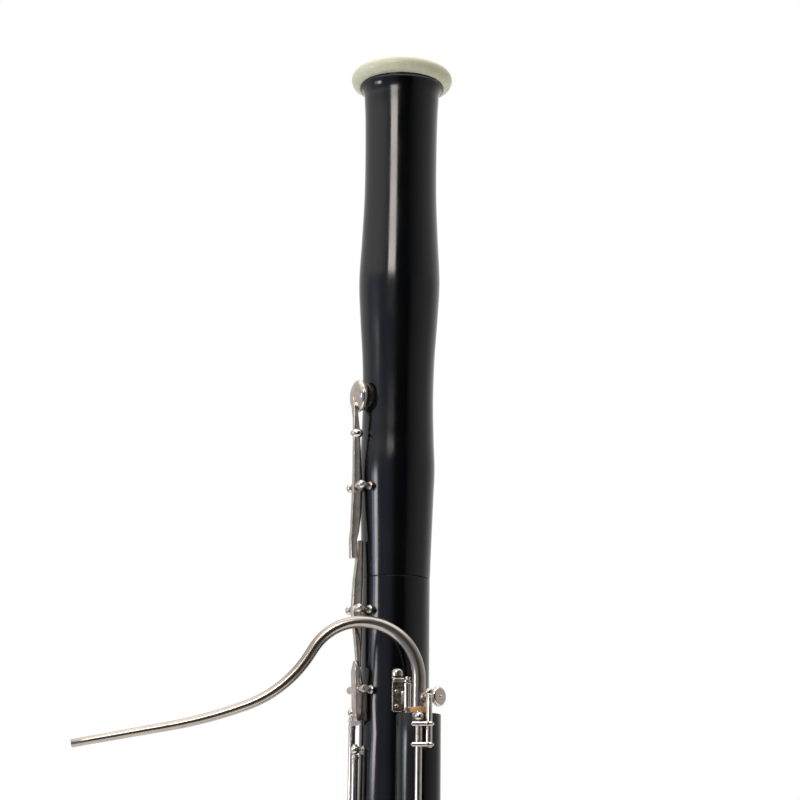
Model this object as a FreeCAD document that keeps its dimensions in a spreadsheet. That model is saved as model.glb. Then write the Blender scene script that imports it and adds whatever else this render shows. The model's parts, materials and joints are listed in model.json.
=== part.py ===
"""Bassoon, 1345 mm tall, in millimetres.

The instrument stands upright on its boot cap, with the origin at the centre of the cap's flat foot.
+Z runs up to the bell. Both bores lie in the YZ plane: the wing joint's axis is on the -Y side and the
long joint's axis is on the +Y side. The finger holes face +X, and the thumb keys face -X.

A key is drawn in the frame of the joint that carries it: x points out of the joint through the tone
hole, y runs round the joint and z is up. It is drawn closed, and then turned open about its own axle.
"""
import FreeCAD, Part
import math
import os
import re
import Sketcher
from FreeCAD import Placement, Rotation, Vector

SIZES = {
    "axis_gap": 35, "foot_top": 46, "boot_top": 440, "wing_top": 897, "seam": 987, "bell_top": 1345,
    # boot
    "boot_radius": 24, "cap_wall": 0.9, "cap_height": 58, "band_height": 7, "ferrule_height": 16,
    "ferrule_wall": 1.3, "gasket_height": 1.5, "long_socket": 19.5, "long_socket_depth": 50,
    "wing_socket": 12.5, "wing_socket_depth": 45, "long_bore_low": 11, "long_bore_foot": 12.4,
    "wing_bore_low": 8.5,
    "tube_radius": 11.6, "tube_wall": 0.8, "tube_centre": 34,
    # long joint
    "long_radius_low": 23.8, "long_radius_top": 22.4, "long_bore_top": 15, "long_tenon": 18.5,
    "upper_tenon": 28, "cork_ledge": 4,
    # wing joint
    "wing_radius_low": 14.8, "wing_radius_top": 14.25, "wing_tenon": 11.5, "wing_bore_top": 4.8,
    "wing_bore_foot": 7, "bocal_socket": 5.5, "bocal_socket_depth": 33, "flute_gap": 0.4,
    "lobe_low": 560, "lobe_high": 775, "lobe_slope": 34, "lobe_reach": 33, "lobe_half": 10.5,
    "lobe_round": 4, "hole_one": 697, "hole_two": 655, "hole_three": 613, "hole_radius": 3,
    "boot_hole_one": 305, "boot_hole_two": 262, "boot_hole_radius": 3.4,
    # bell
    "bell_bore_low": 16, "bell_bore_top": 20.5, "ring_radius": 35.1, "ring_inner": 23.5,
    "ring_foot": 1334, "ring_round": 5.2,
    # bocal
    "bocal_base": 4.5, "bocal_tip": 2.6, "bocal_wall": 0.5, "bocal_rise": 919, "crook_radius": 36.2,
    "crook_angle": 148.5, "drop_run": 4.9, "sweep_radius": 78.4, "sweep_angle": 37.8, "ease_radius": 290,
    "ease_angle": 10, "tip_run": 50, "tip_sleeve": 12, "bocal_heading": 153.9,
    "socket_play": 0.05, "cork_top": 901.4,
    "nib_height": 907.4, "nib_reach": 10.5, "nib_root": 3, "nib_tip": 1.3, "nib_turn": 32,
    "nib_sunk": 0.8,
    # body lock
    "lock_angle": 262, "lock_low": 898.6, "lock_high": 926.9, "lock_plate_wall": 1.9,
    "lock_half": 3.6, "lock_offset": 5.6, "barrel_radius": 2.6, "barrel_place": 26.4,
    "barrel_low": 899.2, "barrel_high": 917, "pin_radius": 1.45, "pin_play": 0.05,
    "lock_arm_height": 8, "keeper_wall": 1.3, "keeper_side": 6, "pin_depth": 7, "knob_radius": 2.4,
    "knob_height": 4,
    # strap ring and hand rest
    "strap_height": 432, "strap_radius": 4.5, "strap_wire": 1.2, "strap_reach": 32,
    "rest_height": 334, "rest_side": 14, "rest_depth": 11, "rest_bore": 2.5, "rest_bore_depth": 8,
    "rest_screw": 1.9, "rest_screw_reach": 14, "rest_knob": 5, "rest_knob_wall": 3,
    # key work
    "rod_radius": 1, "rod_proud": 1.2, "tube_play": 0.05, "hinge_tube": 2.2, "ball_radius": 3, "stem_radius": 1.5,
    "stem_embed": 4, "ball_gap": 0.1, "lever_wall": 2.4, "pad_gap": 0.08,
    "pad_wall": 2.2, "cup_lip": 1.1, "cup_wall": 2.4, "cup_rim": 0.8,
    "touch_wall": 2, "touch_width": 11, "cup_arm_width": 6, "touch_arm_width": 5,
    "push_arm_width": 4, "seat_inset": 1.6, "hole_inset": 3.6, "bell_wall_at_posts": 24.4,
    # upper end of the whisper key
    "clamp_low": 876.7, "clamp_high": 889.4, "clamp_long": 13.5, "clamp_width": 4, "clamp_wall": 2.9,
    "side_bar": 2.1, "side_bar_place": 6.3, "side_bar_low": 874.8, "side_bar_long": 37,
    "nib_pad": 5.2, "nib_cup": 6, "nib_cup_wall": 2.6,
}

# outer radius of the bell at its stations: the seam, two soft bulges, and the flare under the ring
BELL = [
    (987, 22.45), (1014, 23.35), (1041, 24.35), (1061, 25.05), (1082, 24.25), (1109, 23.7),
    (1137, 24.4), (1165, 26.25), (1192, 27.45), (1222, 26.05), (1252, 24.85), (1281, 24.7),
    (1310, 25.15), (1325, 25.8), (1334, 29.2),
]

# seesaw keys turn on an axle across the joint. Angles are round the joint's axis, from +X.
# cup is the height of the pad cup's centre, ends are the heights and distances of the lever's ends.
SEESAWS = {
    "bell_b_flat_key": dict(joint="long", angle=180, axle_place=29.7, axle_height=1046.9,
                            half_span=5.6, turn=2.8, seat=24.6, cup=1108.2, cup_radius=10.8,
                            tail=999, tail_place=32.7, width=8),
    "low_b_flat_lever": dict(joint="long", angle=180, axle_place=29.4, axle_height=965.7,
                             half_span=4.6, turn=0, head=1008, head_place=27.1,
                             tail=929, tail_place=25.9, width=5),
    "low_b_flat_link": dict(joint="long", angle=187, axle_place=28.2, axle_height=913.6,
                            half_span=3.6, turn=0, head=932, head_place=29.1,
                            tail=893.5, tail_place=27.4, width=5.3),
}

# rod keys turn on an axle along the joint, at place (out) and side (round) from the joint's axis
RODS = {
    "low_b_flat_rod": dict(joint="long", angle=165, place=27.6, side=0, low=726, high=896.6,
                           turn=0, touch=740, touch_place=32, touch_side=-14, touch_long=26,
                           arm=893, arm_place=22.9, arm_side=9.3),
    "low_b_key": dict(joint="long", angle=212, place=23.8, side=-14.3, low=748, high=872.5,
                      turn=-9, seat=24.8, cup=826, cup_radius=9, touch=762, touch_place=31,
                      touch_side=-3, touch_long=22),
    "low_c_key": dict(joint="long", angle=160, place=24.8, side=13, low=640, high=716,
                      turn=9, seat=25, cup=698, cup_radius=9.5, touch=656, touch_place=32,
                      touch_side=-1, touch_long=24),
    "low_d_key": dict(joint="long", angle=160, place=25, side=13, low=552, high=622,
                      turn=9, seat=25.1, cup=573, cup_radius=9, touch=612, touch_place=32,
                      touch_side=-1, touch_long=26),
    "low_c_sharp_key": dict(joint="long", angle=95, place=25, side=13, low=486, high=552,
                            turn=0, seat=25.2, cup=508, cup_radius=8, touch=540,
                            touch_place=25.5, touch_side=25, touch_long=16),
    "whisper_key": dict(joint="wing", angle=243.9, place=18.3, side=0, low=640, high=890.9,
                        turn=-10, touch=656, touch_place=23, touch_side=-13, touch_long=34),
    "wing_c_sharp_key": dict(joint="wing", angle=188, place=15.4, side=10.6, low=742, high=826,
                             turn=0, seat=15.6, cup=806, cup_radius=6, touch=754,
                             touch_place=21, touch_side=17, touch_long=16),
    "low_e_key": dict(joint="long", angle=180, place=28.6, side=16.5, low=266, high=322,
                      turn=8, seat=25.3, cup=294, cup_radius=12),
    "f_sharp_key": dict(joint="long", angle=180, place=28.6, side=16.5, low=196, high=248,
                        turn=0, seat=25.3, cup=212, cup_radius=8, touch=238, touch_place=31,
                        touch_side=29, touch_long=15),
    "g_key": dict(joint="wing", angle=0, place=28.6, side=14.5, low=194, high=240,
                  turn=8, seat=25.3, cup=217, cup_radius=9),
    "a_flat_key": dict(joint="wing", angle=0, place=28.6, side=14.5, low=128, high=178,
                       turn=0, seat=25.3, cup=146, cup_radius=7.5, touch=172, touch_place=31,
                       touch_side=23, touch_long=15),
    "f_key": dict(joint="long", angle=0, place=25.5, side=17.5, low=96, high=184, turn=8,
                  seat=25.3, cup=114, cup_radius=12.5, touch=168, touch_place=31.5, touch_side=3,
                  touch_long=22),
}

JOINT_SIDE = {"wing": -1, "long": 1}
ALONG_X = Rotation(Vector(0, 1, 0), 90)
ALONG_Y = Rotation(Vector(1, 0, 0), -90)
ALONG_Z = Rotation()


def fill_sheet(doc):
    """Writes every driving dimension to the spreadsheet, one cell and one alias each."""
    sheet = doc.addObject("Spreadsheet::Sheet", "Sizes")
    cells = dict(SIZES)
    for number, (height, radius) in enumerate(BELL):
        cells[f"bell_height_{number:02d}"] = height
        cells[f"bell_radius_{number:02d}"] = radius
    for name, key in {**SEESAWS, **RODS}.items():
        for field, amount in key.items():
            if field != "joint":
                cells[f"{name}_{field}"] = amount
    for row, (alias, amount) in enumerate(cells.items(), 1):
        sheet.set(f"A{row}", str(amount))
        sheet.setAlias(f"A{row}", alias)
    doc.recompute()
    return sheet, cells


doc = FreeCAD.newDocument("Bassoon")
sheet, cells = fill_sheet(doc)


def full(text):
    """Gives an expression with each cell's alias named in full."""
    def name(match):
        return "Sizes." + match[0] if match[0] in cells else match[0]
    return re.sub(r"[a-z][a-z_0-9]*", name, str(text))


def value(text):
    """Gives the number that an expression on the sheet comes to."""
    amount = sheet.evalExpression(full(text))
    return float(getattr(amount, "Value", amount))


def bind(piece, **sizes):
    for size, text in sizes.items():
        piece.setExpression(size, full(text))
    return piece


def point(place):
    return Vector(*(value(text) for text in place))


def cylinder(radius, length, place, turned=ALONG_Z):
    """A round bar that starts at place and runs along x, y or z."""
    piece = doc.addObject("Part::Cylinder", "Cylinder")
    piece.Placement = Placement(point(place), turned)
    return bind(piece, Radius=radius, Height=length)


def cone(radius_low, radius_high, length, place, turned=ALONG_Z):
    piece = doc.addObject("Part::Cone", "Cone")
    piece.Placement = Placement(point(place), turned)
    return bind(piece, Radius1=radius_low, Radius2=radius_high, Height=length)


def ball(radius, place):
    piece = doc.addObject("Part::Sphere", "Ball")
    piece.Placement = Placement(point(place), Rotation())
    return bind(piece, Radius=radius)


def block(length, width, height, place):
    """A box that starts at place, with its sides along x, y and z."""
    piece = doc.addObject("Part::Box", "Block")
    piece.Placement = Placement(point(place), Rotation())
    return bind(piece, Length=length, Width=width, Height=height)


def bar(start, end, width, wall, across):
    """A flat bar between two points, width wide along the direction across."""
    first, last = point(start), point(end)
    along = last - first
    turned = Rotation(Vector(0, 0, 0), across, along, "ZYX")
    piece = doc.addObject("Part::Box", "Bar")
    corner = turned.multVec(Vector(-value(wall) / 2, -value(width) / 2, 0))
    piece.Placement = Placement(first + corner, turned)
    return bind(piece, Length=wall, Width=width, Height=str(along.Length))


def fuse(name, pieces):
    if len(pieces) == 1:
        return pieces[0]
    whole = doc.addObject("Part::MultiFuse", name)
    whole.Shapes = pieces
    return whole


def cut(name, base, tools):
    whole = doc.addObject("Part::Cut", name)
    whole.Base = base
    whole.Tool = fuse(name + "_tools", tools)
    return whole


def compound(name, pieces):
    whole = doc.addObject("Part::Compound", name)
    whole.Links = pieces
    return whole


def joint_frame(joint, angle):
    """The expression of a joint's frame: its axis, turned so that x faces the given angle."""
    side = JOINT_SIDE[joint]
    return (f"placement(vector(0; {side} * axis_gap / 2; 0); "
            f"rotation(vector(0; 0; 1); {angle}))")


def stand(piece, joint, angle="0"):
    """Puts a piece that was drawn about z onto one of the two joints' axes."""
    return bind(piece, Placement=joint_frame(joint, angle))


def turned_body(name, outline):
    """A turned piece: a closed outline of (radius, height) expressions, turned about the z axis."""
    body = doc.addObject("PartDesign::Body", name)
    sketch = body.newObject("Sketcher::SketchObject", name + "_outline")
    plane = next(f for f in body.Origin.OriginFeatures if f.Role == "XZ_Plane")
    sketch.AttachmentSupport = [(plane, "")]
    sketch.MapMode = "FlatFace"
    corners = [Vector(value(radius), value(height), 0) for radius, height in outline]
    count = len(corners)
    for index in range(count):
        line = Part.LineSegment(corners[index], corners[(index + 1) % count])
        sketch.addGeometry(line, False)
    for index in range(count):
        sketch.addConstraint(Sketcher.Constraint("Coincident", index, 2, (index + 1) % count, 1))
    for index, (radius, height) in enumerate(outline):
        for kind, text in (("DistanceX", radius), ("DistanceY", height)):
            rule = Sketcher.Constraint(kind, -1, 1, index, 1, value(text))
            sketch.setExpression(f"Constraints[{sketch.addConstraint(rule)}]", full(text))
    turn = body.newObject("PartDesign::Revolution", name + "_turn")
    turn.Profile = sketch
    turn.ReferenceAxis = (sketch, ["V_Axis"])
    turn.Angle = 360
    doc.recompute()
    return body


def round_rims(body, heights, radius):
    """Rounds the circular edges of a turned body that lie at the given heights."""
    last = body.Tip
    levels = [value(height) for height in heights]
    rims = [f"Edge{number}" for number, edge in enumerate(last.Shape.Edges, 1)
            if hasattr(edge.Curve, "Radius")
            and any(abs(edge.Curve.Center.z - level) < 1e-6 for level in levels)]
    fillet = body.newObject("PartDesign::Fillet", body.Name + "_round")
    fillet.Base = (last, rims)
    bind(fillet, Radius=radius)
    doc.recompute()
    return body


def oval(name, radius, height, low):
    """An upright bar of oval section that wraps both axes."""
    sides = [cylinder(radius, height, (0, f"{side} * axis_gap / 2", low)) for side in (-1, 1)]
    middle = block(f"2 * ({radius})", "axis_gap", height, (f"-({radius})", "-axis_gap / 2", low))
    return fuse(name, sides + [middle])


def oval_shell(name, outer, inner, height, low):
    return cut(name, oval(name + "_outer", outer, height, low),
               [oval(name + "_inner", inner, f"{height} + 2", f"{low} - 1")])


# ------------------------------------------------------------------ tone holes

def at_cup(key, name, radius, length, start):
    """A round bar at the height of a key's cup, pointing straight out of the key's joint."""
    piece = doc.addObject("Part::Cylinder", "Outward_bar")
    bind(piece, Radius=radius, Height=length)
    return bind(piece, Placement=joint_frame(key["joint"], f"{name}_angle")
                + f" * placement(vector({start}; 0; {name}_cup); rotation(vector(0; 1; 0); 90))")


def tone_hole_tool(key, name, depth):
    """The drill that opens a key's tone hole into the bore."""
    return at_cup(key, name, f"{name}_cup_radius - hole_inset", depth, f"{name}_seat - {depth} + 1")


def tone_hole_seat(key, name, depth):
    """The raised rim round a key's tone hole, standing on the joint's wall."""
    return at_cup(key, name, f"{name}_cup_radius - seat_inset", depth, f"{name}_seat - {depth}")


def keys_on(low, high, side):
    """The padded keys whose cups lie between two heights on the given joint."""
    return {name: key for name, key in {**SEESAWS, **RODS}.items()
            if "seat" in key and key["joint"] == side and low < key["cup"] < high}


# ------------------------------------------------------------------ boot

def make_boot():
    low, top = "foot_top + gasket_height", "boot_top"
    outer = oval("boot_outer", "boot_radius", f"{top} - cap_height", "cap_height")
    neck = oval("boot_neck", "boot_radius - cap_wall", f"cap_height - ({low})", low)
    solids = [outer, neck]
    tools = [
        cone("long_bore_low", "long_bore_foot", f"{top} - long_socket_depth - ({low})",
             (0, "axis_gap / 2", low)),
        cone("wing_bore_low", "wing_bore_foot", f"{top} - wing_socket_depth - ({low})",
             (0, "-axis_gap / 2", low)),
        cylinder("long_socket", "long_socket_depth + 1",
                 (0, "axis_gap / 2", f"{top} - long_socket_depth")),
        cylinder("wing_socket", "wing_socket_depth + 1",
                 (0, "-axis_gap / 2", f"{top} - wing_socket_depth")),
    ]
    for hole in ("boot_hole_one", "boot_hole_two"):
        tools.append(cylinder("boot_hole_radius", "boot_radius + 1", (0, "-axis_gap / 2", hole), ALONG_X))
    tools.append(oval_shell("ferrule_step", "boot_radius + 1", "boot_radius - 1",
                            "ferrule_height", "boot_top - ferrule_height"))
    for side in JOINT_SIDE:
        for name, key in keys_on(60, 420, side).items():
            solids.append(tone_hole_seat(key, name, "8"))
            tools.append(tone_hole_tool(key, name, "16"))
    return cut("boot_body", fuse("boot_solid", solids), tools)


def make_boot_fittings():
    ferrule = oval_shell("boot_top_ferrule", "boot_radius + ferrule_wall", "boot_radius - 1",
                         "ferrule_height", "boot_top - ferrule_height")
    band = oval_shell("boot_bottom_band", "boot_radius + ferrule_wall", "boot_radius",
                      "band_height", "cap_height")
    cap = cut("boot_cap", oval("cap_outer", "boot_radius", "cap_height", "0"),
              [oval("cap_inner", "boot_radius - cap_wall", "cap_height", "3")])
    gasket = cut("u_bend_gasket", oval("gasket_sheet", "boot_radius - 2", "gasket_height", "foot_top"),
                 [cylinder("long_bore_low", "gasket_height + 2", (0, "axis_gap / 2", "foot_top - 1")),
                  cylinder("wing_bore_low", "gasket_height + 2", (0, "-axis_gap / 2", "foot_top - 1"))])
    return {"boot_top_ferrule": ferrule, "boot_bottom_band": band, "boot_cap": cap,
            "u_bend_gasket": gasket}


def make_u_bend():
    """The metal bend that joins the two bores under the boot, on its flat plate."""
    def bend(radius, extra):
        ring = doc.addObject("Part::Torus", "Bend")
        bind(ring, Radius1="axis_gap / 2", Radius2=radius)
        ring.Placement = Placement(point((0, 0, "tube_centre")), Rotation(Vector(0, 1, 0), 90))
        lower = doc.addObject("Part::Common", "Lower_bend")
        lower.Base = ring
        lower.Tool = block(80, 80, 40, (-40, -40, "tube_centre - 40"))
        rise = f"foot_top - tube_centre + {extra}"
        return fuse("Tube", [lower] + [cylinder(radius, rise, (0, f"{side} * axis_gap / 2", "tube_centre"))
                                       for side in (-1, 1)])
    plate = oval("bend_plate", "boot_radius - 2", 2, "foot_top - 2")
    return cut("u_bend_tube", fuse("bend_outer", [bend("tube_radius", 0), plate]),
               [bend("tube_radius - tube_wall", 1)])


# ------------------------------------------------------------------ joints

def make_long_joint():
    foot, head = "boot_top - long_socket_depth", "seam + upper_tenon"
    body = turned_body("long_turning", [
        ("long_bore_foot", foot), ("long_tenon", foot), ("long_tenon", "boot_top"),
        ("long_radius_low", "boot_top"), ("long_radius_top", "seam"),
        ("long_tenon", "seam"), ("long_tenon", head), ("long_bore_top", head)])
    stand(body, "long")
    solids, tools = [body], []
    for name, key in keys_on(450, 980, "long").items():
        solids.append(tone_hole_seat(key, name, "6"))
        tools.append(tone_hole_tool(key, name, "16"))
    return cut("long_joint", fuse("long_solid", solids), tools)


def make_wing_joint():
    foot, collar = "boot_top - wing_socket_depth", "wing_top - bocal_socket_depth"
    body = turned_body("wing_turning", [
        ("0.5", foot), ("wing_tenon", foot), ("wing_tenon", "boot_top"),
        ("wing_radius_low", "boot_top"), ("wing_radius_top", "wing_top"), ("0.5", "wing_top")])
    stand(body, "wing")
    lobe = doc.addObject("Part::Wedge", "wing_lobe")
    bind(lobe, Xmin="lobe_low", Xmax="lobe_high", X2min="lobe_low + lobe_slope",
         X2max="lobe_high - lobe_slope", Ymin="0", Ymax="lobe_reach", Zmin="-lobe_half",
         Zmax="lobe_half", Z2min="-lobe_half + 3", Z2max="lobe_half - 3")
    lobe.Placement = Placement(point((0, "-axis_gap / 2", 0)),
                               Rotation(Vector(0, 0, 1), Vector(1, 0, 0), Vector(0, 1, 0), "XYZ"))
    rounded = doc.addObject("Part::Fillet", "wing_lobe_rounded")
    rounded.Base = lobe
    doc.recompute()
    outer = [number for number, edge in enumerate(lobe.Shape.Edges, 1)
             if edge.BoundBox.XMax > value("lobe_reach") - 1]
    rounded.Edges = [(number, value("lobe_round"), value("lobe_round")) for number in outer]
    solids = [body, rounded]
    flute = cone("long_radius_low + flute_gap", "long_radius_top + flute_gap", "seam - boot_top",
                 (0, "axis_gap / 2", "boot_top"))
    tools = [
        flute,
        cone("wing_bore_foot", "wing_bore_top", f"{collar} - ({foot})", (0, "-axis_gap / 2", foot)),
        cylinder("bocal_socket", "bocal_socket_depth + 1", (0, "-axis_gap / 2", collar)),
    ]
    for hole in ("hole_one", "hole_two", "hole_three"):
        tools.append(cylinder("hole_radius", "lobe_reach + 5", (0, "-axis_gap / 2", hole), ALONG_X))
    pin_hole = doc.addObject("Part::Cylinder", "pin_hole")
    bind(pin_hole, Radius="pin_radius + pin_play", Height="pin_depth + 2")
    tools.append(bind(pin_hole, Placement=joint_frame("long", "lock_angle")
                      + " * placement(vector(barrel_place; 0; wing_top - pin_depth - 1); "
                      "rotation(vector(0; 0; 1); 0))"))
    for name, key in keys_on(450, 890, "wing").items():
        solids.append(tone_hole_seat(key, name, "5"))
        tools.append(tone_hole_tool(key, name, "12"))
    return cut("wing_joint", fuse("wing_solid", solids), tools)


def sleeve(name, joint, inner, outer, low, high):
    body = turned_body(name, [(inner, low), (outer, low), (outer, high), (inner, high)])
    return stand(body, joint)


def make_corks():
    ledge = "cork_ledge"
    return {
        "wing_tenon_cork": sleeve("wing_tenon_cork", "wing", "wing_tenon", "wing_socket",
                                  f"boot_top - wing_socket_depth + {ledge}", f"boot_top - {ledge}"),
        "long_lower_cork": sleeve("long_lower_cork", "long", "long_tenon", "long_socket",
                                  f"boot_top - long_socket_depth + {ledge}", f"boot_top - {ledge}"),
        "long_upper_cork": sleeve("long_upper_cork", "long", "long_tenon", "long_socket",
                                  f"seam + {ledge}", f"seam + upper_tenon - {ledge}"),
    }


def make_bell():
    """The bell is one smooth curve outside, with a straight taper inside above the tenon's socket."""
    stations = [Vector(value(f"bell_radius_{number:02d}"), 0, value(f"bell_height_{number:02d}"))
                for number in range(len(BELL))]
    outside = Part.BSplineCurve()
    outside.interpolate(stations)
    corners = [point((radius, 0, height)) for radius, height in (
        ("bell_bore_top", "ring_foot"), ("bell_bore_low", "seam + upper_tenon"),
        ("long_socket", "seam + upper_tenon"), ("long_socket", "seam"))]
    path = [stations[-1]] + corners + [stations[0]]
    edges = [outside.toShape()]
    edges += [Part.LineSegment(path[index], path[index + 1]).toShape() for index in range(len(path) - 1)]
    turning = doc.addObject("Part::Feature", "bell_turning")
    turning.Shape = Part.Face(Part.Wire(edges)).revolve(Vector(), Vector(0, 0, 1), 360)
    stand(turning, "long")
    name = "bell_b_flat_key"
    key = SEESAWS[name]
    solid = fuse("bell_solid", [turning, tone_hole_seat(key, name, "4")])
    return cut("bell", solid, [tone_hole_tool(key, name, "14")])


def make_bell_ring():
    body = turned_body("bell_ring", [
        ("ring_inner", "ring_foot"), ("ring_radius", "ring_foot"), ("ring_radius", "bell_top"),
        ("ring_inner", "bell_top")])
    return stand(round_rims(body, ("bell_top", "ring_foot"), "ring_round"), "long")


# ------------------------------------------------------------------ bocal

def bocal_path():
    """The crook's centre line: up, over in one wide turn, down, and easing out to the tip."""
    here = Vector(0, 0, value("wing_top - bocal_socket_depth"))
    heading = 90.0
    edges = []

    def aim(angle):
        return Vector(math.cos(math.radians(angle)), 0, math.sin(math.radians(angle)))

    def run(length):
        nonlocal here
        there = here + aim(heading) * length
        edges.append(Part.LineSegment(here, there).toShape())
        here = there

    def turn(radius, angle):
        nonlocal here, heading
        inward = 90 if angle > 0 else -90
        centre = here + aim(heading + inward) * radius
        stops = [centre + aim(heading + part * angle - inward) * radius for part in (0.5, 1)]
        edges.append(Part.Arc(here, *stops).toShape())
        here, heading = stops[1], heading + angle

    run(value("bocal_rise - wing_top + bocal_socket_depth"))
    turn(value("crook_radius"), -value("crook_angle"))
    run(value("drop_run"))
    turn(value("sweep_radius"), value("sweep_angle"))
    turn(value("ease_radius"), value("ease_angle"))
    run(value("tip_run"))
    return Part.Wire(edges), here, aim(heading)


def make_bocal():
    path, tip, heading = bocal_path()
    foot = path.Vertexes[0].Point

    def pipe(base_radius, tip_radius):
        shell = Part.BRepOffsetAPI.MakePipeShell(path)
        for place, aim, radius in ((foot, Vector(0, 0, 1), base_radius), (tip, heading, tip_radius)):
            shell.add(Part.Wire([Part.Circle(place, aim, radius).toShape()]))
        shell.build()
        shell.makeSolid()
        return shell.shape()

    base, end, wall = value("bocal_base"), value("bocal_tip"), value("bocal_wall")
    sleeve_end = [Part.makeCylinder(radius, value("tip_sleeve"), tip, heading)
                  for radius in (end, end - wall)]
    crook = doc.addObject("Part::Feature", "crook")
    crook.Shape = pipe(base, end).fuse(sleeve_end[0]).cut(pipe(base - wall, end - wall).fuse(sleeve_end[1]))
    heading_frame = joint_frame("wing", "bocal_heading")
    bind(crook, Placement=heading_frame)
    nib_frame = (joint_frame("wing", "bocal_heading + 180 - nib_turn")
                 + " * placement(vector(bocal_base - nib_sunk; 0; nib_height); "
                 "rotation(vector(0; 1; 0); 90))")
    nib = doc.addObject("Part::Cone", "nib_cone")
    bind(nib, Radius1="nib_root", Radius2="nib_tip", Height="nib_reach - bocal_base + nib_sunk")
    bind(nib, Placement=nib_frame)
    core = doc.addObject("Part::Feature", "crook_core")
    core.Shape = pipe(base, end)
    bind(core, Placement=heading_frame)
    pip = cut("bocal_nib", nib, [core])
    cork = turned_body("bocal_cork", [
        ("bocal_base", "wing_top - bocal_socket_depth"),
        ("bocal_socket - socket_play", "wing_top - bocal_socket_depth"),
        ("bocal_socket - socket_play", "cork_top"), ("bocal_base", "cork_top")])
    return {"bocal": crook, "bocal_nib": pip, "bocal_cork": stand(cork, "wing")}


# ------------------------------------------------------------------ lock, strap ring, hand rest

def in_lock_frame(piece):
    return bind(piece, Placement=joint_frame("long", "lock_angle"))


def make_lock():
    plate = block("lock_plate_wall", "2 * lock_half", "lock_high - lock_low",
                  ("long_radius_top", "-lock_offset - lock_half", "lock_low"))
    arm = block("barrel_place - long_radius_top", "lock_offset", "lock_arm_height",
                ("long_radius_top", "-lock_offset", "barrel_low + 2"))
    barrel = cylinder("barrel_radius", "barrel_high - barrel_low", ("barrel_place", 0, "barrel_low"))
    bore = cylinder("pin_radius + pin_play", "40", ("barrel_place", 0, "barrel_low - 5"))
    joint = cylinder("long_radius_top + 0.25", "80", (0, 0, "lock_low - 20"))
    holder = cut("lock_plate", fuse("lock_solid", [plate, arm, barrel]), [bore, joint])
    keeper_sheet = block("keeper_side", "keeper_side", "keeper_wall",
                         ("barrel_place - keeper_side / 2", "-keeper_side / 2", "wing_top"))
    keeper_hole = cylinder("pin_radius + pin_play", "10", ("barrel_place", 0, "wing_top - 4"))
    keeper = cut("lock_keeper", keeper_sheet, [keeper_hole])
    pin = fuse("lock_pin", [
        cylinder("pin_radius", "barrel_high + 3 - wing_top + pin_depth",
                 ("barrel_place", 0, "wing_top - pin_depth")),
        cylinder("knob_radius", "knob_height", ("barrel_place", 0, "barrel_high + 0.3"))])
    return {"lock_plate": in_lock_frame(holder), "lock_keeper": in_lock_frame(keeper),
            "lock_pin": in_lock_frame(pin)}


def make_strap_ring():
    wall = "2 * strap_wire"
    eye = cylinder("strap_radius + strap_wire", wall, ("-strap_reach", "-strap_wire", "strap_height"),
                   ALONG_Y)
    reach = "strap_reach - strap_radius - boot_radius - ferrule_wall"
    stem = cylinder("strap_wire + 0.6", reach, ("-strap_reach + strap_radius", 0, "strap_height"), ALONG_X)
    hole = cylinder("strap_radius - strap_wire", "12", ("-strap_reach", -6, "strap_height"), ALONG_Y)
    return cut("strap_ring", fuse("strap_solid", [eye, stem]), [hole])


def make_hand_rest():
    face = "-axis_gap / 2 - boot_radius"
    seat = block("rest_side", "rest_depth", "rest_side",
                 ("-rest_side / 2", f"{face} - rest_depth + 1", "rest_height - rest_side / 2"))
    rounding = oval("rest_wall", "boot_radius", "60", "rest_height - 30")
    bore = cylinder("rest_bore", "rest_bore_depth + 1",
                    (0, f"{face} - rest_depth", "rest_height"), ALONG_Y)
    thread = cylinder("rest_screw + 0.05", "rest_screw_reach", (0.5, f"{face} - 5", "rest_height"), ALONG_X)
    socket = cut("hand_rest_socket", seat, [rounding, bore, thread])
    screw = fuse("hand_rest_screw", [
        cylinder("rest_screw", "rest_side / 2 - rest_bore - 0.6 + 4",
                 ("rest_bore + 0.6", f"{face} - 5", "rest_height"), ALONG_X),
        cylinder("rest_knob", "rest_knob_wall", ("rest_side / 2 + 1", f"{face} - 5", "rest_height"),
                 ALONG_X)])
    return {"hand_rest_socket": socket, "hand_rest_screw": screw}


# ------------------------------------------------------------------ keys

def cup_and_pad(name):
    """A pad cup over its pad, drawn closed on the tone hole's seat, facing inwards along x."""
    radius, low = f"{name}_cup_radius", f"{name}_seat + pad_gap"
    centre = (f"{low} + cup_lip", 0, f"{name}_cup")
    cup = cylinder(radius, "cup_wall", centre, ALONG_X)
    recess = cylinder(f"{radius} - cup_rim", "pad_wall + 3", (f"{low} - 3", 0, f"{name}_cup"), ALONG_X)
    pad = cylinder(f"{radius} - cup_rim", "pad_wall", (low, 0, f"{name}_cup"), ALONG_X)
    return cup, recess, pad


def post(place_x, place_y, height, wall):
    """A ball head on a stem that goes into the joint's wall, pointing straight at the joint's axis."""
    x, y = value(place_x), value(place_y)
    reach = math.hypot(x, y)
    stem = doc.addObject("Part::Cylinder", "Stem")
    bind(stem, Radius="stem_radius", Height=f"{reach} - ({wall}) + stem_embed")
    inward = Vector(-x, -y, 0)
    stem.Placement = Placement(point((place_x, place_y, height)), Rotation(Vector(0, 0, 1), inward))
    return fuse("Post", [stem, ball("ball_radius", (place_x, place_y, height))])


def flat_post(place_x, place_y, height, wall):
    """A ball head on a stem that goes square into the boot's flat side."""
    stem = cylinder("stem_radius", f"{place_x} - ({wall}) + stem_embed",
                    (f"{wall} - stem_embed", place_y, height), ALONG_X)
    return fuse("Post", [stem, ball("ball_radius", (place_x, place_y, height))])


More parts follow.
